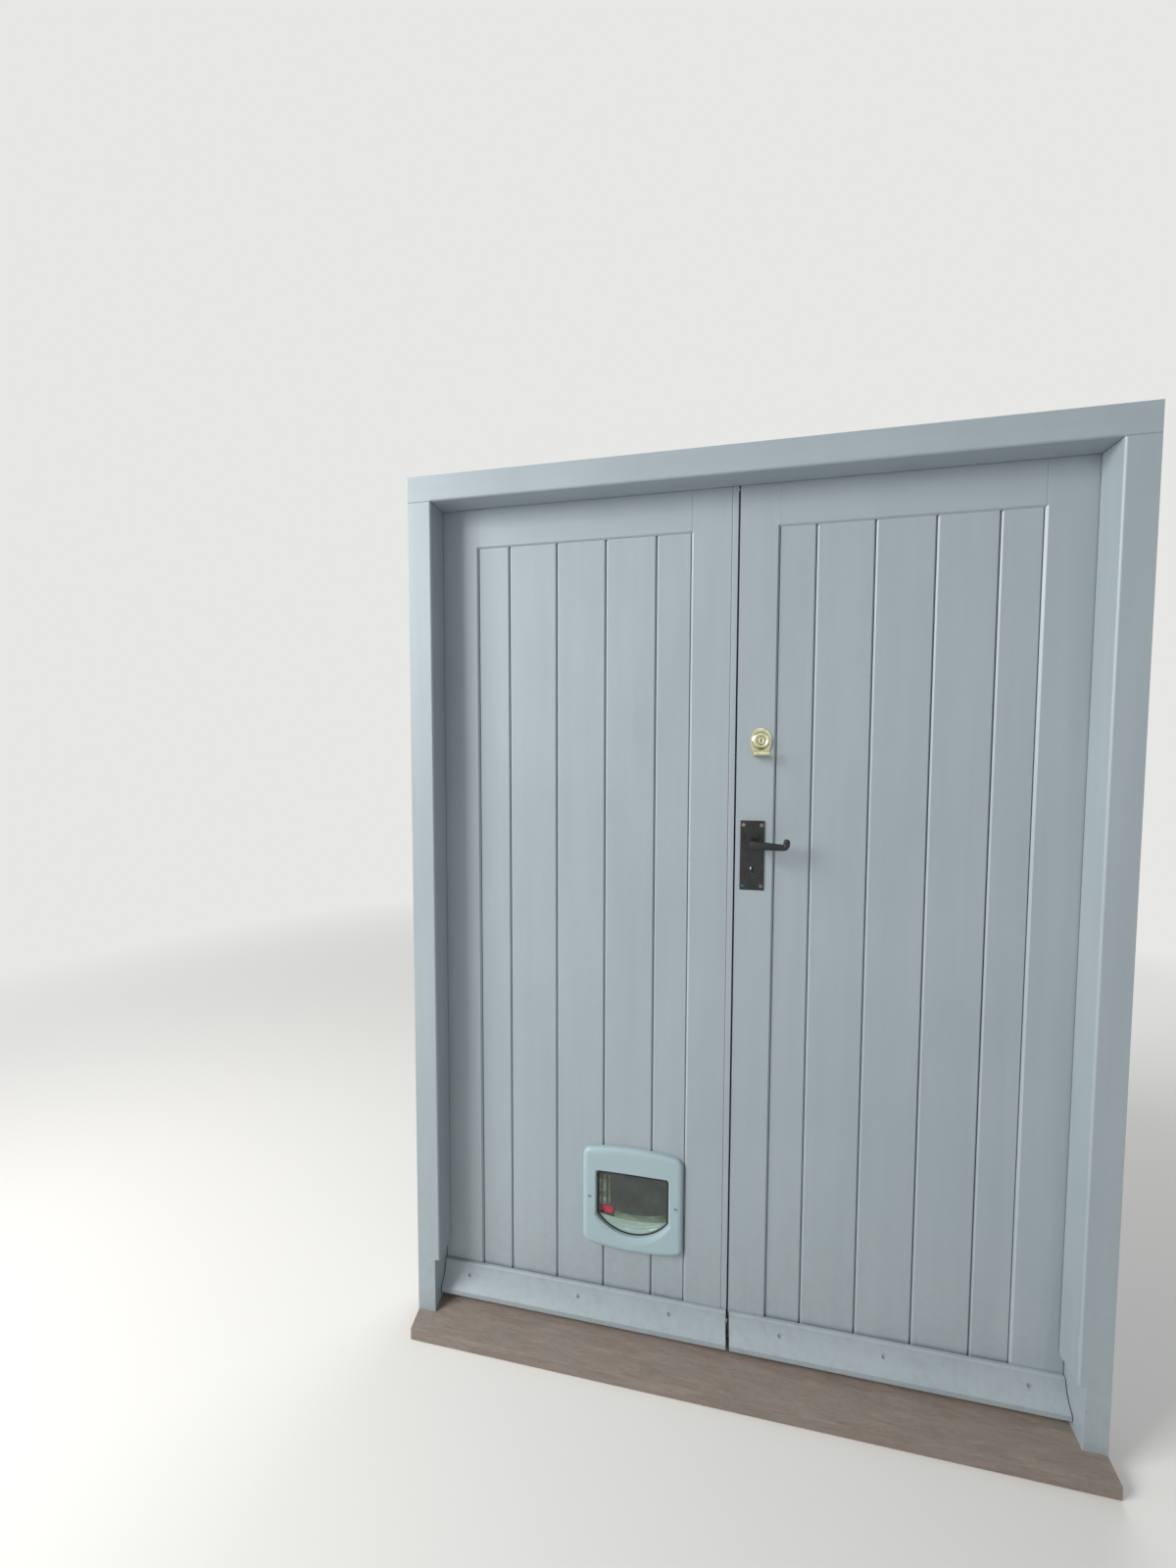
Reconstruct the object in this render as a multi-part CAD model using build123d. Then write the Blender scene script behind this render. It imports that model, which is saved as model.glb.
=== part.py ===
from build123d import *
import os
from math import cos, radians, sin, sqrt, tan

# A pair of boarded entrance doors in a timber frame on a sloping hardwood sill.
# Millimetres. X runs to the right as seen from outside, Y runs into the building,
# Z runs up. The origin is on the underside of the sill, at the middle of the frame,
# in the plane of the leaves' outer face.

# Driving dimensions of the opening and the frame
clear_width = 1348.0        # between the stops of the two jambs
clear_height = 1924.0       # from the flat of the sill to the stop of the head
rebate_step = 12.0          # how far a stop covers the edge of a leaf
jamb_wall = 45.0            # timber left behind the rebate
stop_depth = 64.0           # from the front of the frame to the leaves' outer face
stop_gap = 1.5              # between a leaf's face and the stop
stop_arris = 3.0            # chamfer along the inner edge of the stops

# Sill
sill_height = 51.0          # flat part under the leaves
sill_nose_height = 28.0     # front edge
sill_projection = 105.0     # in front of the leaves' outer face
sill_throat_width = 8.0     # drip groove under the nose
sill_throat_depth = 6.0
sill_throat_inset = 15.0

# Water bar between the sill and the leaves
bar_thickness = 6.0
bar_height = 19.0
bar_bedding = 12.0          # sunk in the sill
bar_setback = 5.0           # behind the leaves' outer face
bar_clearance = 4.0         # between the bar and a leaf

# Leaves
leaf_thickness = 44.0
leaf_gap = 2.0              # between a leaf and the frame at the sides and head
bottom_gap = 4.0            # between a leaf and the sill
meeting_gap = 4.0           # between the two leaves
meeting_line = 9.0          # middle of that gap, to the right of the frame's middle
hinge_stile_width = 98.0
left_meeting_stile_width = 98.0
right_meeting_stile_width = 82.0
top_rail_height = 100.0
middle_ledge_height = 180.0
middle_ledge_bottom = 905.0
bottom_ledge_height = 165.0
panel_arris = 4.0           # chamfer of the frame round the boards
bead_width = 12.0           # staff bead on the left leaf's meeting edge
bead_quirk = 3.0            # groove beside that bead
cut_past = 1.0              # how far a cutting tool runs past the face that it opens

# Boards
board_cover = 114.3
board_count = 5
board_thickness = 16.0
board_setback = 4.0         # behind the leaf's outer face
board_arris = 4.0           # half of the vee at each joint
board_housing = 10.0        # how far the boards run up into the top rail
tongue_length = 7.0
tongue_thickness = 5.0

# Joinery
tenon_thickness = 14.0
tenon_length = 62.0
tenon_shoulder = 18.0       # from the edges of a rail to its tenon
joint_clearance = 0.2       # round tongues and tenons
frame_tenon_front = 18.0    # jamb tenon behind the leaves' outer face
frame_tenon_back = 9.0      # jamb tenon to the inner face of the frame

# Weather bars across the feet of the leaves
weather_height = 64.0
weather_projection = 35.0
weather_top = 9.0           # thickness at the top edge
weather_nose = 12.0         # upright nose
weather_round = 4.0
weather_lip = 2.0           # upright edge under the rounded top
weather_hollow = 4.5        # depth of the hollow between that edge and the nose
weather_lift = 6.0          # above the bottom of the leaf
drip_width = 6.0
drip_depth = 4.0
weather_clearance = 45.0    # stop cut away above the weather bar
weather_swing_gap = 2.0     # cut back at the meeting edge, so that its nose swings clear
weather_screw_drop = 25.0   # below the top of the bar
weather_screw_seat = 3.5    # heads in front of the bar's upright edge
weather_screw_set = 31.0    # from the joints of the stiles towards the hinges

# Countersunk wood screws, one size throughout the leaves and hinges
screw_head_radius = 4.2
screw_shank_radius = 2.1
screw_length = 32.0
screw_slot_width = 1.2
screw_slot_depth = 1.0
screw_clearance = 0.1       # round a screw in its pilot hole

# Butt hinges
hinge_height = 100.0
hinge_plate = 2.5
hinge_plate_edge = 12.0     # from the leaf's outer face to the plate
hinge_knuckle_radius = 5.5
hinge_pin_radius = 2.6
hinge_pin_head = 1.5        # length and overlap of the pin's button ends
hinge_knuckle_gap = 0.3
hinge_knuckles = 5
hinge_pin_setout = 6.0      # pin behind the leaf's inner face
hinge_top_inset = 200.0     # leaf top to the middle of the top hinge
hinge_bottom_inset = 275.0  # leaf bottom to the middle of the bottom hinge
hinge_screw_rows = (-37.0, -13.0, 13.0, 37.0)
hinge_screw_stagger = 6.4   # either side of the plate's middle
running_clearance = 0.08    # radial, of a pin in its bore

# Fixing holes through the jambs, hidden behind the leaves' edges
fixing_radius = 4.0
fixing_middle = 1010.0
fixing_outer_spacing = 1160.0
fixing_inner_spacing = 400.0

# Sash lock in the right leaf's meeting stile
lock_backset = 35.5         # leaf edge to the spindle and the keyhole
lock_middle = 1182.0        # height of the middle of the lock and its plates
lock_centres = 57.0         # spindle above keyhole
lock_case_depth = 57.0
lock_case_height = 144.0
lock_case_thickness = 16.0
lock_wall = 1.5
forend_width = 20.0
forend_height = 170.0
forend_thickness = 3.0
lock_fit = 0.3              # round the lock in the stile and the bolts in the lock
bolt_thickness = 10.0       # latch and dead bolt, in the middle of the case

latch_head_height = 20.0
latch_head_length = 16.0
latch_proud = 1.5           # latch bolt in front of the leaf's edge at rest
latch_travel = 10.5
latch_bevel = 7.0
latch_tail_height = 4.7
latch_lug = 4.0             # width of the tail's lug and riser
latch_lug_gap = 1.5         # lug above the follower's hub
follower_radius = 9.5
follower_reach = 15.0       # middle of the follower's nose
follower_nose_radius = 3.0
follower_lean = 20.0        # degrees that the nose leans back at rest
spindle_side = 8.0
spindle_fit = 0.1

dead_head_height = 25.0
dead_head_length = 25.0
dead_tail_height = 8.0
dead_tail_length = 22.0
dead_travel = 14.0
keyhole_radius = 4.0
keyhole_slot_width = 4.8
keyhole_drop = 12.0         # from the middle of the round part to the foot of the slot
keyhole_bore = 9.0          # hole through the timber

# Lock keep in the left leaf's meeting edge
keep_thickness = 3.0
keep_socket_depth = 20.0
keep_clearance = 2.5        # round the bolts

# Lever handles
plate_width = 51.0
plate_height = 153.0
plate_thickness = 3.0
plate_arris = 1.0
plate_screw_inset = 6.3
plate_screw_inset_z = 9.5
plate_screw_length = 15.0
lever_boss_radius = 11.0
lever_boss_length = 14.0
lever_neck_radius = 7.5
lever_stand = 34.0          # from the plate to the near side of the arm
lever_thickness = 12.0
lever_root_height = 19.0
lever_tip_height = 13.0
lever_length = 72.0         # spindle to the tip
lever_tail = 10.0           # rounded end behind the spindle
lever_droop = 3.0           # degrees
lever_curl_radius = 7.0
lever_round = 3.0
lever_gap = 0.3             # turning clearance at the plates
lever_socket_gap = 1.0      # past each end of the spindle

# Rim cylinder and its finger pull
cylinder_backset = 50.0
cylinder_height = 1433.0
cylinder_radius = 15.5
cylinder_length = 36.0      # into the leaf
ring_radius = 19.0
ring_depth = 8.0
ring_taper = 3.0
ring_recess = 1.0           # face of the cylinder behind the face of the ring
plug_radius = 7.5
plug_slot_width = 2.2
plug_slot_height = 10.0
plug_slot_depth = 6.0
tail_bar_width = 8.0
tail_bar_thickness = 2.4
pull_radius = 22.0
pull_thickness = 1.5
pull_drop = 27.0            # middle of the cylinder to the root of the lip
pull_lip = 18.0             # how far the lip stands out
pull_curl_radius = 6.0
pull_width = 31.0

# Rim night latch on the inside of the right leaf
night_width = 72.0
night_height = 90.0
night_depth = 27.0
night_wall = 2.0
night_corner = 4.0
night_edge_gap = 2.0        # leaf edge to the case
night_bolt_height = 26.0
night_bolt_depth = 12.0
night_bolt_length = 34.0
night_bolt_bevel = 7.0
night_bolt_drop = 8.0       # below the inside of the case's top
night_travel = 14.0
night_knob_radius = 15.0
night_knob_depth = 20.0
night_knob_stem = 6.0
night_knob_disc = 3.0
night_knob_round = 2.0
night_knob_turn = 70.0      # degrees that throw the bolt

# Night latch keep on the inside of the left leaf
night_keep_width = 24.0
night_keep_gap = 2.0        # keep to the leaf's meeting edge
night_keep_border = 6.0     # metal above and below the mouth
night_keep_slack = 2.0      # mouth past the thrown bolt

# Tower bolts on the inside of the left leaf
tower_length = 150.0
tower_width = 36.0
tower_plate = 2.5
tower_bolt_radius = 6.0
tower_bridge_length = 18.0
tower_bridge_wall = 2.5
tower_fit = 0.3
tower_inset = 45.0          # meeting edge to the middle of the bolt
tower_end_gap = 4.0         # end of the leaf to the plate
tower_travel = 22.0
tower_tip_gap = 3.0         # end of the leaf to the bolt's tip
tower_knob_radius = 7.0
tower_knob_stand = 20.0
staple_length = 16.0
staple_clear = 6.0          # past the end of the leaf
staple_room = 2.5           # round the bolt in its mouth
staple_plate_margin = 12.0

# Cat flap in the left leaf
flap_stile_gap = 3.0        # frame of the flap to the meeting stile
flap_ledge_gap = 5.0        # frame of the flap to the ledge below it
flap_frame_width = 236.0
flap_frame_height = 252.0
flap_frame_bow = 12.0       # rise of the top and bottom edges
flap_frame_corner = 20.0
flap_frame_depth = 13.0
flap_frame_round = 4.0
flap_inner_depth = 10.0
flap_hole_width = 170.0
flap_hole_rise = 65.0       # top of the hole above the middle of the frame
flap_hole_straight = 45.0   # start of the curved foot below that middle
flap_hole_depth = 89.0      # lowest point of the foot below that middle
flap_hole_corner = 6.0
flap_sleeve_wall = 4.0
flap_sleeve_end = 2.0       # sleeve ends before the inner frame
flap_cutout_margin = 3.0    # sleeve to the cut edge of the boards
flap_clearance = 2.5        # round the flap in its hole
flap_thickness = 3.0
flap_face = 3.0             # outer face of the flap behind the leaf's outer face
flap_pivot_drop = 7.0       # below the top of the hole
flap_pin_radius = 2.5
flap_bead_radius = 3.6      # stiff roll along the flap's top
flap_rim_height = 34.0      # thickened foot of the flap
flap_rim_extra = 1.5
catch_width = 22.0
catch_height = 18.0
catch_depth = 5.0
catch_travel = 8.0
catch_inset = 15.0          # from the flap's edge
catch_drop = 35.0           # below the middle of the frame
catch_gap = 0.2
catch_tongue_height = 9.0
catch_slot_gap = 1.0        # round the tongue in the sleeve's notch

# Levels and edges that follow from the sizes above
leaf_bottom = sill_height + bottom_gap
head_stop = sill_height + clear_height
rebate_half = clear_width / 2 + rebate_step
frame_half = rebate_half + jamb_wall
head_rebate = head_stop + rebate_step
frame_top = head_rebate + jamb_wall
leaf_top = head_rebate - leaf_gap
rail_bottom = leaf_top - top_rail_height
weather_base = leaf_bottom + weather_lift
weather_level = weather_base + weather_height
board_back = board_setback + board_thickness
sill_mortise_depth = sill_height / 2
head_mortise_depth = jamb_wall / 2
hinge_pin_y = leaf_thickness + hinge_pin_setout
hinge_pin_x = rebate_half - leaf_gap / 2
hinge_heights = (
    leaf_bottom + hinge_bottom_inset,
    (leaf_bottom + hinge_bottom_inset + leaf_top - hinge_top_inset) / 2,
    leaf_top - hinge_top_inset,
)
left_edge = meeting_line - meeting_gap / 2
right_edge = meeting_line + meeting_gap / 2
spindle_x = right_edge + lock_backset
spindle_z = lock_middle + lock_centres / 2
keyhole_z = lock_middle - lock_centres / 2
lock_mid_y = leaf_thickness / 2
flap_middle_x = left_edge - left_meeting_stile_width - flap_stile_gap - flap_frame_width / 2
flap_middle_z = leaf_bottom + bottom_ledge_height + flap_ledge_gap + flap_frame_height / 2
flap_hole_top = flap_middle_z + flap_hole_rise
flap_hole_shoulder = flap_middle_z - flap_hole_straight
flap_hole_foot = flap_middle_z - flap_hole_depth
flap_screw_reach = (flap_hole_width + flap_frame_width) / 4
catch_middle_z = flap_middle_z - catch_drop
tower_x = left_edge - tower_inset
tower_y = leaf_thickness + tower_plate + tower_bolt_radius + tower_fit


def span(a, b):
    """The two limits in rising order."""
    return (min(a, b), max(a, b))


def grown(limits, amount):
    """Limits moved apart by amount at both ends."""
    return (limits[0] - amount, limits[1] + amount)


def block(x, y, z):
    """A rectangular solid between three pairs of limits."""
    mid = [(a + b) / 2 for a, b in (x, y, z)]
    return Pos(*mid) * Box(*[abs(b - a) for a, b in (x, y, z)])


def rod(axis, centre, radius, limits):
    """A round bar along axis between limits; centre holds the other two coordinates."""
    mid, length = (limits[0] + limits[1]) / 2, abs(limits[1] - limits[0])
    if axis == "x":
        return Pos(mid, *centre) * Rot(0, 90, 0) * Cylinder(radius, length)
    if axis == "y":
        return Pos(centre[0], mid, centre[1]) * Rot(90, 0, 0) * Cylinder(radius, length)
    return Pos(*centre, mid) * Cylinder(radius, length)


def slab_x(points, x):
    """A prism with a Y, Z outline between two X limits."""
    x = span(*x)
    wire = Polyline([(x[0], y, z) for y, z in points], close=True)
    return extrude(make_face(wire), amount=x[1] - x[0], dir=(1, 0, 0))


def slab_y(outline, y):
    """A prism of an X, Z sketch between two Y limits."""
    y = span(*y)
    face = Plane(origin=(0, y[1], 0), x_dir=(1, 0, 0), z_dir=(0, -1, 0)) * outline
    return extrude(face, amount=y[1] - y[0], dir=(0, -1, 0))


def screw(place, direction, length=screw_length):
    """A countersunk slotted screw whose head is flush at place, pointing along direction."""
    head = screw_head_radius - screw_shank_radius
    tip = screw_shank_radius
    outline = Polyline([
        (0, 0),
        (screw_head_radius, 0),
        (screw_shank_radius, head),
        (screw_shank_radius, length - tip),
        (0, length),
    ], close=True)
    body = revolve(make_face(Plane.XZ * outline), Axis.Z)
    slot = Box(2 * screw_head_radius, screw_slot_width, 2 * screw_slot_depth)
    return Plane(origin=place, z_dir=direction) * (body - slot)


def pilot(place, direction, length=screw_length, head=False):
    """The hole for such a screw, with the seat of its head where the head sinks in."""
    radius = screw_shank_radius + screw_clearance
    depth = length + cut_past
    hole = Pos(0, 0, depth / 2) * Cylinder(radius, depth)
    if head:
        wide = screw_head_radius + screw_clearance
        seat = wide - radius
        hole += Pos(0, 0, seat / 2) * Cone(wide, radius, seat)
    return Plane(origin=place, z_dir=direction) * hole


def tenon(x, mid_y, z, clearance=0.0):
    """A tenon between X limits, or its mortise when a clearance is given."""
    half = tenon_thickness / 2 + clearance
    return block(x, (mid_y - half, mid_y + half), (z[0] - clearance, z[1] + clearance))


class Leaf:
    """The edges of one leaf. out is +1 where the hinges are on the right."""

    def __init__(self, name, out, meeting_edge, meeting_width):
        self.name = name
        self.out = out
        self.meeting_edge = meeting_edge
        self.hinge_edge = out * (rebate_half - leaf_gap)
        self.meeting_joint = meeting_edge + out * meeting_width
        self.hinge_joint = self.hinge_edge - out * hinge_stile_width
        self.pin_x = out * hinge_pin_x

    def panel(self):
        return span(self.meeting_joint, self.hinge_joint)


left_leaf = Leaf("left", -1, left_edge, left_meeting_stile_width)
right_leaf = Leaf("right", 1, right_edge, right_meeting_stile_width)
leaves = (left_leaf, right_leaf)


# Frame

def sill_outline():
    """Weathered top, flat rear part and a drip groove under the nose."""
    throat = -sill_projection + sill_throat_inset
    return [
        (-sill_projection, 0),
        (-sill_projection, sill_nose_height),
        (0, sill_height),
        (leaf_thickness, sill_height),
        (leaf_thickness, 0),
        (throat + sill_throat_width, 0),
        (throat + sill_throat_width, sill_throat_depth),
        (throat, sill_throat_depth),
        (throat, 0),
    ]


def frame_tenon(out, z, clearance=0.0):
    """The tenon at one end of a jamb, or its mortise."""
    half_x = tenon_thickness / 2 + clearance
    mid_x = out * (rebate_half + jamb_wall / 2)
    y = (frame_tenon_front - clearance, leaf_thickness - frame_tenon_back + clearance)
    return block((mid_x - half_x, mid_x + half_x), y, z)


def jamb_joint(out, clearance=0.0):
    """Both end tenons of a jamb, or both mortises."""
    foot = frame_tenon(out, (sill_height - sill_mortise_depth - clearance, sill_height), clearance)
    top = frame_tenon(out, (head_rebate, head_rebate + head_mortise_depth + clearance), clearance)
    return foot, top


def bar_groove():
    return block(
        (-rebate_half, rebate_half),
        (bar_setback, bar_setback + bar_thickness),
        (sill_height - bar_bedding, sill_height),
    )


def make_water_bar():
    top = sill_height - bar_bedding + bar_height
    return block(
        (-rebate_half, rebate_half),
        (bar_setback, bar_setback + bar_thickness),
        (sill_height - bar_bedding, top),
    )


def make_sill():
    body = slab_x(sill_outline(), (-frame_half, frame_half)) - bar_groove()
    for out in (-1, 1):
        body -= jamb_joint(out, joint_clearance)[0]
    return body - tower_staple_seat(-1)


def head_profile():
    return [
        (-stop_depth, head_stop),
        (-stop_depth, frame_top),
        (leaf_thickness, frame_top),
        (leaf_thickness, head_rebate),
        (-stop_gap, head_rebate),
        (-stop_gap, head_stop),
    ]


def make_head():
    body = slab_x(head_profile(), (-frame_half, frame_half))
    for out in (-1, 1):
        body -= jamb_joint(out, joint_clearance)[1]
    arris = [
        (-stop_depth, head_stop),
        (-stop_depth, head_stop + stop_arris),
        (-stop_depth + stop_arris, head_stop),
    ]
    body -= slab_x(arris, (-clear_width / 2, clear_width / 2))
    return body - tower_staple_seat(1)


def fixing_heights():
    outer, inner = fixing_outer_spacing / 2, fixing_inner_spacing / 2
    return [fixing_middle + step for step in (-outer, -inner, inner, outer)]


def make_jamb(out):
    """A rebated jamb; out is -1 for the left one and +1 for the right one."""
    stop = out * clear_width / 2
    rebate = out * rebate_half
    back = out * frame_half
    foot_cut = weather_level + weather_clearance
    body = block(span(stop, back), (-stop_depth, -stop_gap), (0, head_rebate))
    body += block(span(rebate, back), (-stop_gap, leaf_thickness), (0, head_rebate))
    arris = Pos(stop, -stop_depth, head_rebate / 2)
    body -= arris * Rot(0, 0, 45) * Box(stop_arris * sqrt(2), stop_arris * sqrt(2), head_rebate)
    body -= block(span(stop, rebate), (-stop_depth, -stop_gap), (0, foot_cut))
    body -= slab_x(sill_outline(), (-frame_half, frame_half)) + block(
        (-frame_half, frame_half), (-sill_projection, leaf_thickness), (0, sill_throat_depth))
    body -= slab_x(head_profile(), (-frame_half, frame_half))
    for part in jamb_joint(out):
        body += part
    for z in fixing_heights():
        body -= rod("x", (leaf_thickness / 2, z), fixing_radius, span(stop, back + out * cut_past))
    for z in hinge_heights:
        body -= hinge_seat(rebate, out, z)
        for place in hinge_screw_places(rebate + out * hinge_plate, z):
            body -= pilot(place, (out, 0, 0), screw_length - hinge_plate)
    return body


# Hinges

def hinge_seat(face_x, direction, z):
    """The shallow pocket for a hinge plate, sunk from face_x along direction."""
    return block(
        span(face_x, face_x + direction * hinge_plate),
        (hinge_plate_edge, leaf_thickness),
        (z - hinge_height / 2, z + hinge_height / 2),
    )


def hinge_screw_places(face_x, z):
    """The four screws of a plate, alternating across its width."""
    middle = (hinge_plate_edge + leaf_thickness) / 2
    places = []
    for index, row in enumerate(hinge_screw_rows):
        side = hinge_screw_stagger if index % 2 else -hinge_screw_stagger
        places.append((face_x, middle + side, z + row))
    return places


def knuckle_spans(z, own):
    """The heights of the knuckles that belong to one plate; own is 0 or 1."""
    pitch = hinge_height / hinge_knuckles
    spans = []
    for index in range(own, hinge_knuckles, 2):
        low = z - hinge_height / 2 + index * pitch
        spans.append((low + hinge_knuckle_gap / 2, low + pitch - hinge_knuckle_gap / 2))
    return spans


def make_hinge_plate(leaf, z, fixed):
    """One plate of a butt hinge with its knuckles; fixed is True for the jamb's plate."""
    face = leaf.out * rebate_half if fixed else leaf.hinge_edge
    sink = leaf.out if fixed else -leaf.out
    pin = (leaf.pin_x, hinge_pin_y)
    plate = hinge_seat(face, sink, z)
    for low, high in knuckle_spans(z, 0 if fixed else 1):
        barrel = rod("z", pin, hinge_knuckle_radius, (low, high))
        wrap = block(
            span(face, face + sink * hinge_plate), (leaf_thickness, hinge_pin_y), (low, high))
        plate += wrap + barrel
    reach = (z - hinge_height, z + hinge_height)
    plate -= rod("z", pin, hinge_pin_radius + running_clearance, reach)
    for place in hinge_screw_places(face, z):
        plate -= pilot(place, (sink, 0, 0), head=True)
    return plate


def make_hinge_pin(leaf, z):
    """A plain pin with a button at each end, held by the jamb's outer knuckles."""
    pin = (leaf.pin_x, hinge_pin_y)
    half = hinge_height / 2
    body = rod("z", pin, hinge_pin_radius, (z - half, z + half))
    for low in (z - half - hinge_pin_head, z + half):
        button = hinge_pin_radius + hinge_pin_head
        body += rod("z", pin, button, (low, low + hinge_pin_head))
    return body


# Timber of the leaves

def panel_router(leaf):
    """The tool that chamfers the frame of a leaf round its boards."""
    low, high = leaf.panel()
    foot = leaf_bottom - panel_arris
    width = high - low + 2 * panel_arris
    height = rail_bottom + panel_arris - foot
    cutter = Wedge(
        width, panel_arris, height,
        panel_arris, 0, width - panel_arris, height - panel_arris,
        align=(Align.MIN, Align.MIN, Align.MIN),
    )
    return Pos(low - panel_arris, 0, foot) * cutter


def bottom_rebate():
    """The room for the water bar along the feet of the leaves."""
    depth = bar_setback + bar_thickness + bar_clearance
    top = sill_height - bar_bedding + bar_height + bar_clearance
    return block((-rebate_half, rebate_half), (0, depth), (leaf_bottom, top))


ledge_mid_y = (board_back + leaf_thickness) / 2
tongue_mid_y = board_setback + board_thickness / 2
rail_mid_y = board_back + tenon_thickness / 2
ledges = {
    "middle_ledge": (middle_ledge_bottom, middle_ledge_bottom + middle_ledge_height),
    "bottom_ledge": (leaf_bottom, leaf_bottom + bottom_ledge_height),
}


def rail_tenons(leaf, clearance=0.0):
    """The tenons of the top rail and the two ledges, at both ends."""
    rails = dict(ledges)
    rails["top_rail"] = (rail_bottom, leaf_top)
    made = {}
    for name, (low, high) in rails.items():
        mid_y = rail_mid_y if name == "top_rail" else ledge_mid_y
        z = (low + tenon_shoulder, high - tenon_shoulder)
        pair = []
        for joint, width in (
            (leaf.meeting_joint, -leaf.out), (leaf.hinge_joint, leaf.out)
        ):
            reach = joint + width * (tenon_length + clearance)
            pair.append(tenon(span(joint, reach), mid_y, z, clearance))
        made[name] = pair
    return made


def tongue(joint, direction, clearance=0.0):
    """A board's tongue that points from joint along direction, or its groove."""
    half = tongue_thickness / 2 + clearance
    return block(
        span(joint, joint + direction * (tongue_length + 2 * clearance)),
        (tongue_mid_y - half, tongue_mid_y + half),
        (leaf_bottom, rail_bottom),
    )


def make_stile(leaf, edge, joint):
    """A stile from its free edge to the boards, with its grooves and mortises."""
    body = block(span(edge, joint), (0, leaf_thickness), (leaf_bottom, leaf_top))
    body -= panel_router(leaf)
    body -= tongue(joint, 1 if edge > joint else -1, joint_clearance)
    body -= bottom_rebate()
    for pair in rail_tenons(leaf, joint_clearance).values():
        for part in pair:
            body -= part
    for place in weather_screw_places(leaf):
        body -= pilot(place, (0, 1, 0))
    return body


def make_hinge_stile(leaf):
    body = make_stile(leaf, leaf.hinge_edge, leaf.hinge_joint)
    for z in hinge_heights:
        body -= hinge_seat(leaf.hinge_edge, -leaf.out, z)
        for place in hinge_screw_places(leaf.hinge_edge - leaf.out * hinge_plate, z):
            body -= pilot(place, (-leaf.out, 0, 0), screw_length - hinge_plate)
    return body


def make_top_rail(leaf):
    low, high = leaf.panel()
    body = block((low, high), (0, leaf_thickness), (rail_bottom, leaf_top))
    body -= panel_router(leaf)
    body -= block((low, high), (board_setback, board_back), (rail_bottom, rail_bottom + board_housing))
    for part in rail_tenons(leaf)["top_rail"]:
        body += part
    return body


def make_ledge(leaf, name):
    low, high = leaf.panel()
    body = block((low, high), (board_back, leaf_thickness), ledges[name])
    for part in rail_tenons(leaf)[name]:
        body += part
    for place in weather_screw_places(leaf):
        body -= pilot(place, (0, 1, 0))
    return body - bottom_rebate()


def board_joints(leaf):
    """The joint lines of the boards, from the left stile to the right one."""
    low, high = leaf.panel()
    edge_cover = (high - low - (board_count - 2) * board_cover) / 2
    lines = [low, low + edge_cover]
    for _ in range(board_count - 2):
        lines.append(lines[-1] + board_cover)
    return lines + [high]


def make_board(leaf, index):
    """One vee-jointed board with a tongue to its left; the last one has two."""
    lines = board_joints(leaf)
    low, high = lines[index], lines[index + 1]
    z = (leaf_bottom, rail_bottom + board_housing)
    body = block((low, high), (board_setback, board_back), z)
    side = board_arris * sqrt(2)
    for joint in (low, high):
        if joint in lines[1:-1]:
            vee = Pos(joint, board_setback, (z[0] + z[1]) / 2)
            body -= vee * Rot(0, 0, 45) * Box(side, side, z[1] - z[0])
    body += tongue(low, -1)
    if index == board_count - 1:
        body += tongue(high, 1)
    else:
        body -= tongue(high, -1, joint_clearance)
    body -= bottom_rebate()
    if leaf is left_leaf:
        body -= flap_cutout()
        for place in flap_screw_places():
            body -= pilot(place, (0, 1, 0))
    for place in weather_screw_places(leaf):
        body -= pilot(place, (0, 1, 0))
    return body


# Weather bars

def weather_outline():
    """Round top, hollow slope, upright nose and a drip groove underneath."""
    top, base = weather_level, weather_base
    nose = base + weather_nose
    hollow_start = (-weather_top, top - weather_round - weather_lip)
    run, fall = weather_projection - weather_top, hollow_start[1] - nose
    chord = sqrt(run ** 2 + fall ** 2)
    sag = (
        -(weather_top + weather_projection) / 2 + weather_hollow * fall / chord,
        (hollow_start[1] + nose) / 2 - weather_hollow * run / chord,
    )
    drip = -weather_projection + drip_width
    edges = [
        Line((0, base), (0, top)),
        Line((0, top), (-weather_top + weather_round, top)),
        ThreePointArc(
            (-weather_top + weather_round, top),
            (-weather_top + weather_round * (1 - sin(radians(45))),
             top - weather_round * (1 - cos(radians(45)))),
            (-weather_top, top - weather_round),
        ),
        Line((-weather_top, top - weather_round), hollow_start),
        ThreePointArc(hollow_start, sag, (-weather_projection, nose)),
        Line((-weather_projection, nose), (-weather_projection, base)),
        Line((-weather_projection, base), (drip, base)),
        Line((drip, base), (drip, base + drip_depth)),
        Line((drip, base + drip_depth), (drip + drip_width, base + drip_depth)),
        Line((drip + drip_width, base + drip_depth), (drip + drip_width, base)),
        Line((drip + drip_width, base), (0, base)),
    ]
    return make_face(edges)


def weather_screw_places(leaf):
    """The screws of a weather bar: by each stile's joint and in the middle of the boards."""
    y = -weather_top - weather_screw_seat
    z = weather_level - weather_screw_drop
    low, high = leaf.panel()
    shift = leaf.out * weather_screw_set
    return [
        (x, y, z) for x in (leaf.meeting_joint + shift, (low + high) / 2, leaf.hinge_joint + shift)
    ]


def make_weather_bar(leaf):
    low, high = span(leaf.hinge_edge, leaf.meeting_edge + leaf.out * weather_swing_gap)
    plane = Plane(origin=(low, 0, 0), x_dir=(0, 1, 0), z_dir=(1, 0, 0))
    body = extrude(plane * weather_outline(), amount=high - low)
    for place in weather_screw_places(leaf):
        body -= pilot(place, (0, 1, 0), head=True)
        body -= rod("y", (place[0], place[2]), screw_head_radius + screw_clearance,
                    (-weather_projection, place[1]))
    return body


# Sash lock

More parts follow.
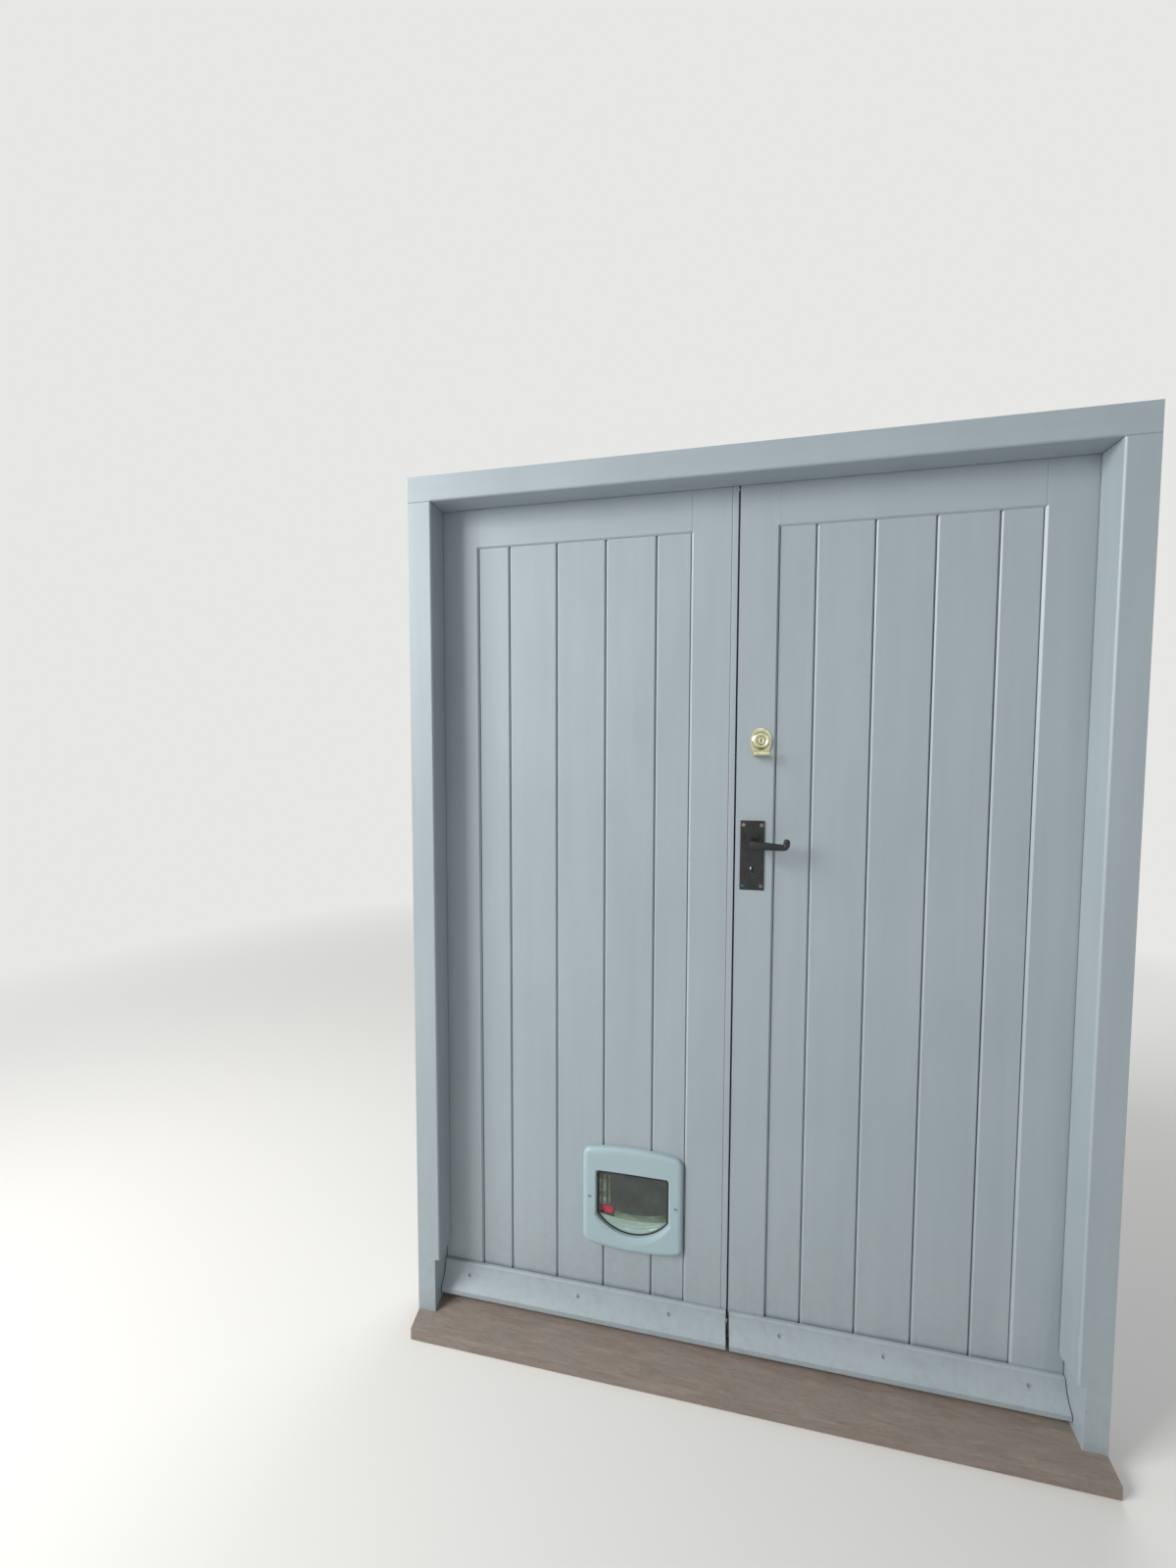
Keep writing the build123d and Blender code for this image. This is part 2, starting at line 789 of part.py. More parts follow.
lock_y = (lock_mid_y - lock_case_thickness / 2, lock_mid_y + lock_case_thickness / 2)
case_x = (right_edge + forend_thickness, right_edge + lock_case_depth)
case_z = (lock_middle - lock_case_height / 2, lock_middle + lock_case_height / 2)
bolt_y = (lock_mid_y - bolt_thickness / 2, lock_mid_y + bolt_thickness / 2)
latch_z = (spindle_z - latch_head_height / 2, spindle_z + latch_head_height / 2)
dead_z = (keyhole_z - dead_head_height / 2, keyhole_z + dead_head_height / 2)
tail_low = spindle_z + follower_reach + follower_nose_radius + 2 * lock_fit


def keyhole(y, extra=0.0):
    """The keyhole: a round top over a straight slot."""
    radius = keyhole_radius + extra
    half = keyhole_slot_width / 2 + extra
    z = (keyhole_z - keyhole_drop - extra, keyhole_z)
    return rod("y", (spindle_x, keyhole_z), radius, y) + block(
        (spindle_x - half, spindle_x + half), y, z)


def lock_mortise():
    """The pocket in the stile for the lock's case and forend."""
    case = block((right_edge, case_x[1] + lock_fit), grown(lock_y, lock_fit), grown(case_z, lock_fit))
    half = forend_width / 2
    forend = block(
        (right_edge, right_edge + forend_thickness),
        (lock_mid_y - half, lock_mid_y + half),
        (lock_middle - forend_height / 2, lock_middle + forend_height / 2),
    )
    return case + forend


def make_lock_case():
    """The folded steel case and its forend, open for the bolts, spindle and key."""
    half = forend_width / 2
    body = block(case_x, lock_y, case_z)
    body -= block(
        (case_x[0], case_x[1] - lock_wall), grown(lock_y, -lock_wall), grown(case_z, -lock_wall))
    body += block(
        (right_edge, right_edge + forend_thickness),
        (lock_mid_y - half, lock_mid_y + half),
        (lock_middle - forend_height / 2, lock_middle + forend_height / 2),
    )
    mouth_x = (right_edge - cut_past, case_x[0] + cut_past)
    for limits in (latch_z, dead_z):
        body -= block(mouth_x, grown(bolt_y, lock_fit), grown(limits, lock_fit))
    through = grown(lock_y, cut_past)
    body -= rod("y", (spindle_x, spindle_z), spindle_side, through)
    return body - keyhole(through)


def make_latch_bolt():
    """The spring latch: a bevelled head, and a tail over the follower with a lug."""
    tip = right_edge - latch_proud
    back = tip + latch_head_length
    lean = radians(follower_lean)
    lug_low = follower_radius + latch_lug_gap
    lug = spindle_x + follower_nose_radius / cos(lean) - lug_low * tan(lean) + lock_fit
    lug_x = (lug, lug + latch_lug)
    riser = (back - latch_lug, back)
    top = tail_low + latch_tail_height
    body = block((tip, back), bolt_y, latch_z)
    body += block(riser, bolt_y, (latch_z[1], top))
    body += block((riser[0], lug_x[1]), bolt_y, (tail_low, top))
    body += block(lug_x, bolt_y, (spindle_z + lug_low, top))
    bevel = Polyline([
        (tip, bolt_y[0]), (tip + latch_bevel, bolt_y[0]), (tip, bolt_y[0] + latch_bevel),
    ], close=True)
    wedge = Pos(0, 0, latch_z[0]) * extrude(make_face(bevel), amount=latch_head_height)
    return body - wedge


def make_follower():
    """The turning hub with a square hole, and a nose that draws the latch back."""
    body = rod("y", (spindle_x, spindle_z), follower_radius, bolt_y)
    trunnion = spindle_side - lock_fit
    body += rod("y", (spindle_x, spindle_z), trunnion, lock_y)
    lean = radians(follower_lean)
    nose_x = spindle_x - follower_reach * sin(lean)
    nose_z = spindle_z + follower_reach * cos(lean)
    body += rod("y", (nose_x, nose_z), follower_nose_radius, bolt_y)
    arm = Box(2 * follower_nose_radius, bolt_y[1] - bolt_y[0], follower_reach)
    arm = Pos(spindle_x, lock_mid_y, spindle_z) * Rot(0, -follower_lean, 0) * (
        Pos(0, 0, follower_reach / 2) * arm)
    body += arm
    half = spindle_side / 2 + spindle_fit
    hole = block(
        (spindle_x - half, spindle_x + half), grown(lock_y, cut_past),
        (spindle_z - half, spindle_z + half))
    return body - hole


def make_spindle():
    """The square bar that joins the two levers through the follower."""
    half = spindle_side / 2
    reach = plate_thickness + lever_gap + lever_stand / 2
    return block(
        (spindle_x - half, spindle_x + half),
        (-reach, leaf_thickness + reach),
        (spindle_z - half, spindle_z + half),
    )


def make_dead_bolt():
    """The key bolt, drawn back flush with the forend, with a tail above the keyhole."""
    tip = right_edge
    back = tip + dead_head_length
    body = block((tip, back), bolt_y, dead_z)
    tail_z = (dead_z[1] - dead_tail_height, dead_z[1])
    return body + block((back, back + dead_tail_length), bolt_y, tail_z)


def keep_sockets(x, extra):
    """The pockets that take the latch and the dead bolt, between two X limits."""
    pockets = block(x, grown(bolt_y, extra), grown(latch_z, extra))
    return pockets + block(x, grown(bolt_y, extra), grown(dead_z, extra))


def keep_plate():
    half = forend_width / 2
    return block(
        (left_edge - keep_thickness, left_edge),
        (lock_mid_y - half, lock_mid_y + half),
        (lock_middle - forend_height / 2, lock_middle + forend_height / 2),
    )


def make_lock_keep():
    return keep_plate() - keep_sockets((left_edge - keep_thickness, left_edge), keep_clearance)


# Lever handles

def across(part):
    """The same part on the inside of the leaf."""
    return mirror(part, about=Plane(origin=(0, leaf_thickness / 2, 0), z_dir=(0, 1, 0)))


def plate_screw_places():
    places = []
    for side in (-1, 1):
        for end in (-1, 1):
            x = spindle_x + side * (plate_width / 2 - plate_screw_inset)
            z = lock_middle + end * (plate_height / 2 - plate_screw_inset_z)
            places.append((x, -plate_thickness, z))
    return places


def make_plate():
    """The outside lock plate with its keyhole and the hole for the lever."""
    y = (-plate_thickness, 0)
    body = block(
        (spindle_x - plate_width / 2, spindle_x + plate_width / 2), y,
        (lock_middle - plate_height / 2, lock_middle + plate_height / 2),
    )
    body = chamfer(body.faces().sort_by(Axis.Y)[0].edges(), plate_arris)
    through = grown(y, cut_past)
    body -= rod("y", (spindle_x, spindle_z), spindle_side, through)
    body -= keyhole(through)
    for place in plate_screw_places():
        body -= pilot(place, (0, 1, 0), plate_screw_length, head=True)
    return body


def lever_outline():
    """The arm seen from the front, with a round tail, a taper and an upturned tip."""
    root, tip = lever_root_height / 2, lever_tip_height / 2
    end = lever_length - lever_curl_radius
    taper = Polyline([
        (0, -root), (end, -tip), (end, tip), (0, root),
    ], close=True)
    shape = make_face(taper) + Pos(0, 0) * Circle(root)
    shape += Pos(end, lever_curl_radius - tip) * Circle(lever_curl_radius)
    return shape + Pos(-lever_tail / 2, 0) * Rectangle(lever_tail, lever_tip_height)


def make_lever():
    """The outside lever: boss at the plate, neck, and the arm that stands off it."""
    near = -plate_thickness - lever_stand
    start = -plate_thickness - lever_gap
    centre = (spindle_x, spindle_z)
    arm = slab_y(Rot(0, 0, -lever_droop) * lever_outline(), (near - lever_thickness, near))
    arm = fillet(arm.faces().sort_by(Axis.Y)[0].edges(), lever_round)
    body = Pos(spindle_x, 0, spindle_z) * arm
    body += rod("y", centre, lever_boss_radius, (start, start - lever_boss_length))
    body += rod("y", centre, lever_neck_radius, (start, near - lever_thickness / 2))
    half = spindle_side / 2 + spindle_fit
    socket = start - lever_stand / 2 - lever_socket_gap
    hole = block(
        (spindle_x - half, spindle_x + half), (socket, start), (spindle_z - half, spindle_z + half))
    return body - hole


# Rim cylinder and its pull

cylinder_x = right_edge + cylinder_backset
cylinder_at = (cylinder_x, cylinder_height)
ring_face = -pull_thickness - ring_depth


def make_cylinder():
    """The cylinder's body through the leaf with a tapered ring on the outside."""
    body = rod("y", cylinder_at, cylinder_radius, (ring_face + ring_recess, cylinder_length))
    ring = Cone(ring_radius, ring_radius - ring_taper, ring_depth)
    body += Pos(cylinder_x, -pull_thickness - ring_depth / 2, cylinder_height) * Rot(90, 0, 0) * ring
    bore = plug_radius + running_clearance
    return body - rod("y", cylinder_at, bore, (ring_face - cut_past, cylinder_length + cut_past))


def make_plug():
    """The turning plug with its key slot, and the flat bar to the night latch."""
    body = rod("y", cylinder_at, plug_radius, (ring_face, cylinder_length))
    slot = block(
        (cylinder_x - plug_slot_width / 2, cylinder_x + plug_slot_width / 2),
        (ring_face, ring_face + plug_slot_depth),
        (cylinder_height - plug_slot_height / 2, cylinder_height + plug_slot_height / 2),
    )
    bar = block(
        (cylinder_x - tail_bar_width / 2, cylinder_x + tail_bar_width / 2),
        (cylinder_length, leaf_thickness + night_wall + night_knob_stem),
        (cylinder_height - tail_bar_thickness / 2, cylinder_height + tail_bar_thickness / 2),
    )
    return body - slot + bar


def make_pull():
    """The pressed finger pull behind the ring, with a curled lip below it."""
    shape = Pos(cylinder_x, cylinder_height) * Circle(pull_radius)
    drop = cylinder_height - pull_drop
    shape += Pos(cylinder_x, cylinder_height - pull_drop / 2) * Rectangle(pull_width, pull_drop)
    body = slab_y(shape, (-pull_thickness, 0))
    x = (cylinder_x - pull_width / 2, cylinder_x + pull_width / 2)
    curl_at = (-pull_lip, drop + pull_curl_radius)
    curl = rod("x", curl_at, pull_curl_radius, x)
    curl -= rod("x", curl_at, pull_curl_radius - pull_thickness, x)
    curl -= block(x, (-pull_lip, 0), (drop, drop + 2 * pull_curl_radius))
    body += block(x, (-pull_lip, 0), (drop, drop + pull_thickness)) + curl
    return body - rod("y", cylinder_at, cylinder_radius + screw_clearance, (-pull_lip, cut_past))


# Night latch

night_x = (right_edge + night_edge_gap, right_edge + night_edge_gap + night_width)
night_y = (leaf_thickness, leaf_thickness + night_depth)
night_z = (cylinder_height - night_height / 2, cylinder_height + night_height / 2)
night_bolt_back = night_y[1] - night_wall - lock_fit
night_bolt_y = (night_bolt_back - night_bolt_depth, night_bolt_back)
night_bolt_top = night_z[1] - night_wall - night_bolt_drop
night_bolt_z = (night_bolt_top - night_bolt_height, night_bolt_top)


def make_night_case():
    """The cast case, open towards the leaf, with the bolt's mouth and the knob's hole."""
    body = block(night_x, night_y, night_z)
    body = fillet(body.edges().filter_by(Axis.Y), night_corner)
    body -= block(
        grown(night_x, -night_wall), (night_y[0], night_y[1] - night_wall), grown(night_z, -night_wall))
    body -= block(
        grown((night_x[0], night_x[0] + night_wall), cut_past), grown(night_bolt_y, lock_fit),
        grown(night_bolt_z, lock_fit))
    stem = night_knob_stem + running_clearance
    return body - rod("y", cylinder_at, stem, grown((night_y[1] - night_wall, night_y[1]), cut_past))


def make_night_bolt():
    """The bevelled bolt, drawn back into the case."""
    tip = night_x[0]
    body = block((tip, tip + night_bolt_length), night_bolt_y, night_bolt_z)
    bevel = Polyline([
        (tip, night_bolt_y[0]),
        (tip + night_bolt_bevel, night_bolt_y[0]),
        (tip, night_bolt_y[0] + night_bolt_bevel),
    ], close=True)
    wedge = Pos(0, 0, night_bolt_z[0]) * extrude(make_face(bevel), amount=night_bolt_height)
    return body - wedge


def make_night_knob():
    """The inside knob: an oval grip on a stem that takes the cylinder's bar."""
    grip_y = (night_y[1] + lever_gap, night_y[1] + night_knob_depth)
    grip = slab_y(
        Pos(cylinder_x, cylinder_height) * Ellipse(night_knob_radius, night_knob_radius / 2), grip_y)
    grip = fillet(grip.faces().sort_by(Axis.Y)[-1].edges(), night_knob_round)
    disc = rod("y", cylinder_at, night_knob_radius, (grip_y[0], grip_y[0] + night_knob_disc))
    stem_end = leaf_thickness + night_wall
    stem = rod("y", cylinder_at, night_knob_stem, (stem_end, grip_y[0]))
    slot_x = tail_bar_width / 2 + spindle_fit
    slot_z = tail_bar_thickness / 2 + spindle_fit
    slot = block(
        (cylinder_x - slot_x, cylinder_x + slot_x), (stem_end, stem_end + night_knob_stem + cut_past),
        (cylinder_height - slot_z, cylinder_height + slot_z))
    return grip + disc + stem - slot


def night_keep_mouth():
    """The space in the keep that the night bolt enters."""
    x = (left_edge - night_keep_gap - night_travel - night_keep_slack, left_edge)
    return block(x, grown(night_bolt_y, keep_clearance), grown(night_bolt_z, keep_clearance))


def make_night_keep():
    x = (left_edge - night_keep_gap - night_keep_width, left_edge - night_keep_gap)
    y = (leaf_thickness, night_bolt_y[1] + keep_clearance + night_wall)
    z = grown(night_bolt_z, keep_clearance + night_keep_border)
    return block(x, y, z) - night_keep_mouth()


# Tower bolts on the passive leaf

def tower_z(end, near, far):
    """Limits measured inwards from the leaf's top (end = 1) or bottom (end = -1)."""
    edge = leaf_top if end > 0 else leaf_bottom
    return span(edge - end * near, edge - end * far)


def tower_bore(z):
    return rod("z", (tower_x, tower_y), tower_bolt_radius + tower_fit, z)


def bridge(z, foot_y):
    """A strap over the bolt, standing on a plate whose face is at foot_y."""
    half = tower_bolt_radius + tower_fit + tower_bridge_wall
    body = rod("z", (tower_x, tower_y), half, z)
    return body + block((tower_x - half, tower_x + half), (foot_y, tower_y), z)


def make_tower_plate(end):
    """A tower bolt's back plate with its two straps."""
    face = leaf_thickness + tower_plate
    z = tower_z(end, tower_end_gap, tower_end_gap + tower_length)
    body = block((tower_x - tower_width / 2, tower_x + tower_width / 2), (leaf_thickness, face), z)
    body += bridge(tower_z(end, tower_end_gap, tower_end_gap + tower_bridge_length), face)
    far = tower_end_gap + tower_length
    body += bridge(tower_z(end, far - tower_bridge_length, far), face)
    return body - tower_bore(grown(z, cut_past))


def make_tower_bolt(end):
    """The round bolt, drawn back, with its knob between the straps."""
    z = tower_z(end, tower_tip_gap, tower_end_gap + tower_length + tower_travel / 2)
    body = rod("z", (tower_x, tower_y), tower_bolt_radius, z)
    knob_z = sum(tower_z(end, tower_end_gap, tower_end_gap + tower_length)) / 2
    stand = tower_y + tower_knob_stand
    body += rod("y", (tower_x, knob_z), tower_bolt_radius / 2, (tower_y, stand))
    return body + Pos(tower_x, stand, knob_z) * Sphere(tower_knob_radius)


def staple_z(end):
    """The limits of the staple past the end of the leaf."""
    edge = leaf_top if end > 0 else leaf_bottom
    return span(edge + end * staple_clear, edge + end * (staple_clear + staple_length))


def tower_staple_seat(end):
    """The pocket in the head or the sill for a staple's plate."""
    half = tower_width / 2 + staple_plate_margin
    return block(
        (tower_x - half, tower_x + half), (leaf_thickness - tower_plate, leaf_thickness), staple_z(end))


def make_staple(end):
    """The box staple on the head or the sill that takes the end of a tower bolt."""
    z = staple_z(end)
    mouth = tower_bolt_radius + staple_room
    half = mouth + tower_bridge_wall
    strap = block((tower_x - half, tower_x + half), (leaf_thickness, tower_y + half), z)
    strap -= block(
        (tower_x - mouth, tower_x + mouth), (leaf_thickness, tower_y + mouth), grown(z, cut_past))
    return tower_staple_seat(end) + strap


# Cat flap

def flap_hole(extra=0.0):
    """The sketch of the hole: square top corners and a curved foot."""
    half = flap_hole_width / 2 + extra
    top = flap_hole_top + extra
    edges = [
        Line((flap_middle_x - half, flap_hole_shoulder), (flap_middle_x - half, top)),
        Line((flap_middle_x - half, top), (flap_middle_x + half, top)),
        Line((flap_middle_x + half, top), (flap_middle_x + half, flap_hole_shoulder)),
        ThreePointArc(
            (flap_middle_x + half, flap_hole_shoulder),
            (flap_middle_x, flap_hole_foot - extra),
            (flap_middle_x - half, flap_hole_shoulder),
        ),
    ]
    shape = make_face(edges)
    return fillet(shape.vertices().group_by(Axis.Y)[-1], flap_hole_corner)


def flap_cutout():
    """The square hole in the boards round the sleeve."""
    half = flap_hole_width / 2 + flap_sleeve_wall + flap_cutout_margin
    margin = flap_sleeve_wall + flap_cutout_margin
    return block(
        (flap_middle_x - half, flap_middle_x + half),
        (0, leaf_thickness),
        (flap_hole_foot - margin, flap_hole_top + margin),
    )


def flap_frame_outline():
    """The outside of the frame: bowed top and bottom edges and round corners."""
    half = flap_frame_width / 2
    top = flap_middle_z + flap_frame_height / 2
    base = flap_middle_z - flap_frame_height / 2
    shoulder = flap_frame_bow
    edges = [
        Line((flap_middle_x - half, base + shoulder), (flap_middle_x - half, top - shoulder)),
        ThreePointArc(
            (flap_middle_x - half, top - shoulder), (flap_middle_x, top),
            (flap_middle_x + half, top - shoulder)),
        Line((flap_middle_x + half, top - shoulder), (flap_middle_x + half, base + shoulder)),
        ThreePointArc(
            (flap_middle_x + half, base + shoulder), (flap_middle_x, base),
            (flap_middle_x - half, base + shoulder)),
    ]
    shape = make_face(edges)
    return fillet(shape.vertices(), flap_frame_corner)


def flap_screw_places():
    outer_face = board_setback - flap_frame_depth
    return [
        (flap_middle_x + side * flap_screw_reach, outer_face, flap_middle_z) for side in (-1, 1)
    ]


flap_pivot_y = flap_face + flap_thickness / 2
flap_pivot_z = flap_hole_top - flap_pivot_drop
flap_edge = flap_middle_x - flap_hole_width / 2 + flap_clearance


def catch_slot():
    """The notch in the sleeve that takes the catch."""
    side = flap_middle_x - flap_hole_width / 2
    y = (flap_face + flap_thickness, flap_face + flap_thickness + catch_depth + catch_slot_gap)
    half = catch_tongue_height / 2 + catch_slot_gap
    return block(
        (side - flap_sleeve_wall - cut_past, side), y, (catch_middle_z - half, catch_middle_z + half))


def make_flap_outer():
    """The outside frame: a rounded plate, and a sleeve through the boards."""
    plate = slab_y(flap_frame_outline(), (board_setback - flap_frame_depth, board_setback))
    front = plate.faces().sort_by(Axis.Y)[0]
    body = fillet(front.edges(), flap_frame_round)
    body += slab_y(flap_hole(flap_sleeve_wall), (board_setback, board_back - flap_sleeve_end))
    body -= slab_y(flap_hole(), (board_setback - flap_frame_depth, board_back))
    reach = flap_hole_width / 2 + flap_sleeve_wall
    body -= rod("x", (flap_pivot_y, flap_pivot_z), flap_pin_radius + running_clearance,
                grown((flap_middle_x - reach, flap_middle_x + reach), cut_past))
    for place in flap_screw_places():
        body -= pilot(place, (0, 1, 0), head=True)
    return body - catch_slot()


def make_flap_inner():
    """The inside frame, screwed to the outside one through the boards."""
    y = (board_back, board_back + flap_inner_depth)
    plate = slab_y(flap_frame_outline(), y)
    back = plate.faces().sort_by(Axis.Y)[-1]
    body = fillet(back.edges(), flap_frame_round)
    body -= slab_y(flap_hole(), y)
    for place in flap_screw_places():
        body -= pilot(place, (0, 1, 0))
    return body


def make_flap():
    """The swinging flap: a clear pane, a thick foot, and a roll with two pins on top."""
    y = (flap_face, flap_face + flap_thickness)
    pane = slab_y(flap_hole(-flap_clearance), y)
    wide = (flap_middle_x - flap_hole_width, flap_middle_x + flap_hole_width)
    above = block(wide, grown(y, cut_past), (flap_pivot_z, flap_hole_top + cut_past))
    foot = slab_y(flap_hole(-flap_clearance), (y[0] - flap_rim_extra, y[1]))
    foot -= block(
        wide, grown(y, flap_rim_extra + cut_past),
        (flap_hole_foot + flap_clearance + flap_rim_height, flap_hole_top))
    half = flap_hole_width / 2
    roll = rod("x", (flap_pivot_y, flap_pivot_z), flap_bead_radius,
               (flap_middle_x - half + flap_clearance, flap_middle_x + half - flap_clearance))
    reach = half + flap_sleeve_wall
    pins = rod("x", (flap_pivot_y, flap_pivot_z), flap_pin_radius,
               (flap_middle_x - reach, flap_middle_x + reach))
    return pane - above + foot + roll + pins


def make_catch():
    """The sliding catch on the inside of the flap."""
    start = flap_edge + catch_inset
    y0 = flap_face + flap_thickness + catch_gap
    body = block(
        (start, start + catch_width), (y0, y0 + catch_depth),
        (catch_middle_z - catch_height / 2, catch_middle_z + catch_height / 2))
    tongue_tip = block(
        (flap_edge, start), (y0, y0 + catch_depth),
        (catch_middle_z - catch_tongue_height / 2, catch_middle_z + catch_tongue_height / 2))
    return body + tongue_tip


# Meeting stiles, cut for what they carry

def make_right_meeting_stile():
    body = make_stile(right_leaf, right_edge, right_leaf.meeting_joint)
    through = grown((0, leaf_thickness), cut_past)
    body -= lock_mortise()
    body -= rod("y", (spindle_x, spindle_z), lever_boss_radius, through)
    body -= keyhole(through, keyhole_bore - 2 * keyhole_radius)
    body -= rod("y", cylinder_at, cylinder_radius + screw_clearance, (through[0], cylinder_length))
    body -= rod("y", cylinder_at, tail_bar_width, (cylinder_length, through[1]))
    for place in plate_screw_places():
        seat = (place[0], 0, place[2])
        hole = pilot(seat, (0, 1, 0), plate_screw_length - plate_thickness)
        body -= hole
        body -= across(hole)
    return body


def make_left_meeting_stile():
    body = make_stile(left_leaf, left_edge, left_leaf.meeting_joint)
    body -= keep_plate()
    body -= keep_sockets((left_edge - keep_socket_depth, left_edge), keep_clearance)
    quirk = Pos(left_edge - bead_width, 0, (leaf_bottom + leaf_top) / 2)
    side = bead_quirk / sqrt(2)
    return body - quirk * Rot(0, 0, 45) * Box(side, side, leaf_top - leaf_bottom)


# The sub-parts by name; a list holds the separate solids of one node

nodes = {
    "frame_head": make_head(),
    "frame_jamb_left": make_jamb(-1),
    "frame_jamb_right": make_jamb(1),
    "sill": make_sill(),
    "water_bar": make_water_bar(),
    "left_meeting_stile": make_left_meeting_stile(),
    "right_meeting_stile": make_right_meeting_stile(),
}

hinge_plates = []
hinge_pins = []
frame_screws = []
for leaf in leaves:
    nodes[leaf.name + "_hinge_stile"] = make_hinge_stile(leaf)
    nodes[leaf.name + "_top_rail"] = make_top_rail(leaf)
    for ledge in ledges:
        nodes[leaf.name + "_" + ledge] = make_ledge(leaf, ledge)
    for index in range(board_count):
        nodes[f"{leaf.name}_board_{index + 1}"] = make_board(leaf, index)
    nodes[leaf.name + "_weather_bar"] = make_weather_bar(leaf)
    leaf_plates = []
    leaf_screws = [screw(place, (0, 1, 0)) for place in weather_screw_places(leaf)]
    for z in hinge_heights:
        hinge_plates.append(make_hinge_plate(leaf, z, True))
        leaf_plates.append(make_hinge_plate(leaf, z, False))
        hinge_pins.append(make_hinge_pin(leaf, z))
        for place in hinge_screw_places(leaf.out * rebate_half, z):
            frame_screws.append(screw(place, (leaf.out, 0, 0)))
        for place in hinge_screw_places(leaf.hinge_edge, z):
            leaf_screws.append(screw(place, (-leaf.out, 0, 0)))
    if leaf is left_leaf:
        leaf_screws += [screw(place, (0, 1, 0)) for place in flap_screw_places()]
    nodes[leaf.name + "_hinge_plates"] = leaf_plates
    nodes[leaf.name + "_leaf_screws"] = leaf_screws
nodes["frame_hinge_plates"] = hinge_plates
nodes["hinge_pins"] = hinge_pins
nodes["frame_screws"] = frame_screws

outside_screws = [
    screw(place, (0, 1, 0), plate_screw_length) for place in plate_screw_places()
]
nodes.update({
    "lock_case": make_lock_case(),
    "latch_bolt": make_latch_bolt(),
    "dead_bolt": make_dead_bolt(),
    "lock_follower": make_follower(),
    "spindle": make_spindle(),
    "outside_lever": make_lever(),
    "inside_lever": across(make_lever()),
    "outside_plate": make_plate(),
    "inside_plate": across(make_plate()),
    "plate_screws": outside_screws + [across(part) for part in outside_screws],
    "lock_keep": make_lock_keep(),
    "rim_cylinder": make_cylinder(),
    "cylinder_plug": make_plug(),
    "cylinder_pull": make_pull(),
    "night_latch_case": make_night_case(),
    "night_latch_bolt": make_night_bolt(),
    "night_latch_knob": make_night_knob(),
    "night_latch_keep": make_night_keep(),
    "tower_bolt_plates": [make_tower_plate(1), make_tower_plate(-1)],
    "top_bolt": make_tower_bolt(1),
    "bottom_bolt": make_tower_bolt(-1),
    "bolt_staples": [make_staple(1), make_staple(-1)],
    "flap_outer_frame": make_flap_outer(),
    "flap_inner_frame": make_flap_inner(),
    "cat_flap": make_flap(),
    "flap_catch": make_catch(),
})

os.makedirs("parts", exist_ok=True)
for name, made in nodes.items():
    shape = Compound(children=list(made)) if isinstance(made, list) else made
    export_step(shape, f"parts/{name}.step")
print(len(nodes), "parts")
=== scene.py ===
from math import cos, pi, radians, sin

import bmesh
import bpy
from mathutils import Matrix, Vector


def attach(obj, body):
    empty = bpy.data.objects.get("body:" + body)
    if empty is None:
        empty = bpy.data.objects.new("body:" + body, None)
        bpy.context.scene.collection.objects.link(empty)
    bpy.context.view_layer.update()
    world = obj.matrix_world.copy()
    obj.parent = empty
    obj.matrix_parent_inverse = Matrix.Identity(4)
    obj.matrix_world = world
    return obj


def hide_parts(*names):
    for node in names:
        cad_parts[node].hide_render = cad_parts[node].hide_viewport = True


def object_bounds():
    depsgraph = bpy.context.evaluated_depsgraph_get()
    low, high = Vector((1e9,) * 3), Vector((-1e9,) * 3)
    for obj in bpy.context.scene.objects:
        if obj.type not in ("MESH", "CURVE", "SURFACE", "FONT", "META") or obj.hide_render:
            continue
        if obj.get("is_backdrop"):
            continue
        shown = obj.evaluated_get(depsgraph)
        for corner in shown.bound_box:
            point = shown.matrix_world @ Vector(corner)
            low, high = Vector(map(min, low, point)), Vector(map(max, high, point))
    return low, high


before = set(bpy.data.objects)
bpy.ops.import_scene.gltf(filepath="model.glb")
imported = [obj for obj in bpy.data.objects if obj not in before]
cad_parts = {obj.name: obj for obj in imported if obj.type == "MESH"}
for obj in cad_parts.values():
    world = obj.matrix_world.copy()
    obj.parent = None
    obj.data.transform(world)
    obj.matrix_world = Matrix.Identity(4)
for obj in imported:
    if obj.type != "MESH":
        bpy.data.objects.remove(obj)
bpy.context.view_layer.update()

# Camera: a very wide lens just outside the doorway, at about eye height, turned a little
# to the left and hardly tilted.
lens = bpy.data.cameras.new("photo lens")
lens.lens, lens.sensor_width = 13.005, 36.0
lens.clip_start = 0.01
camera = bpy.data.objects.new("camera", lens)
bpy.context.scene.collection.objects.link(camera)
turn, tilt, lean = radians(11.55), radians(-3.015), radians(0.121)
ahead = Vector((-sin(turn) * cos(tilt), cos(turn) * cos(tilt), sin(tilt)))
level = Vector((cos(turn), sin(turn), 0.0))
above = level.cross(ahead)
right = level * cos(lean) + above * sin(lean)
up = above * cos(lean) - level * sin(lean)
stand = Vector((-0.0593, -1.281, 1.403))
camera.matrix_world = Matrix.Translation(stand) @ Matrix((right, up, -ahead)).transposed().to_4x4()
bpy.context.scene.camera = camera


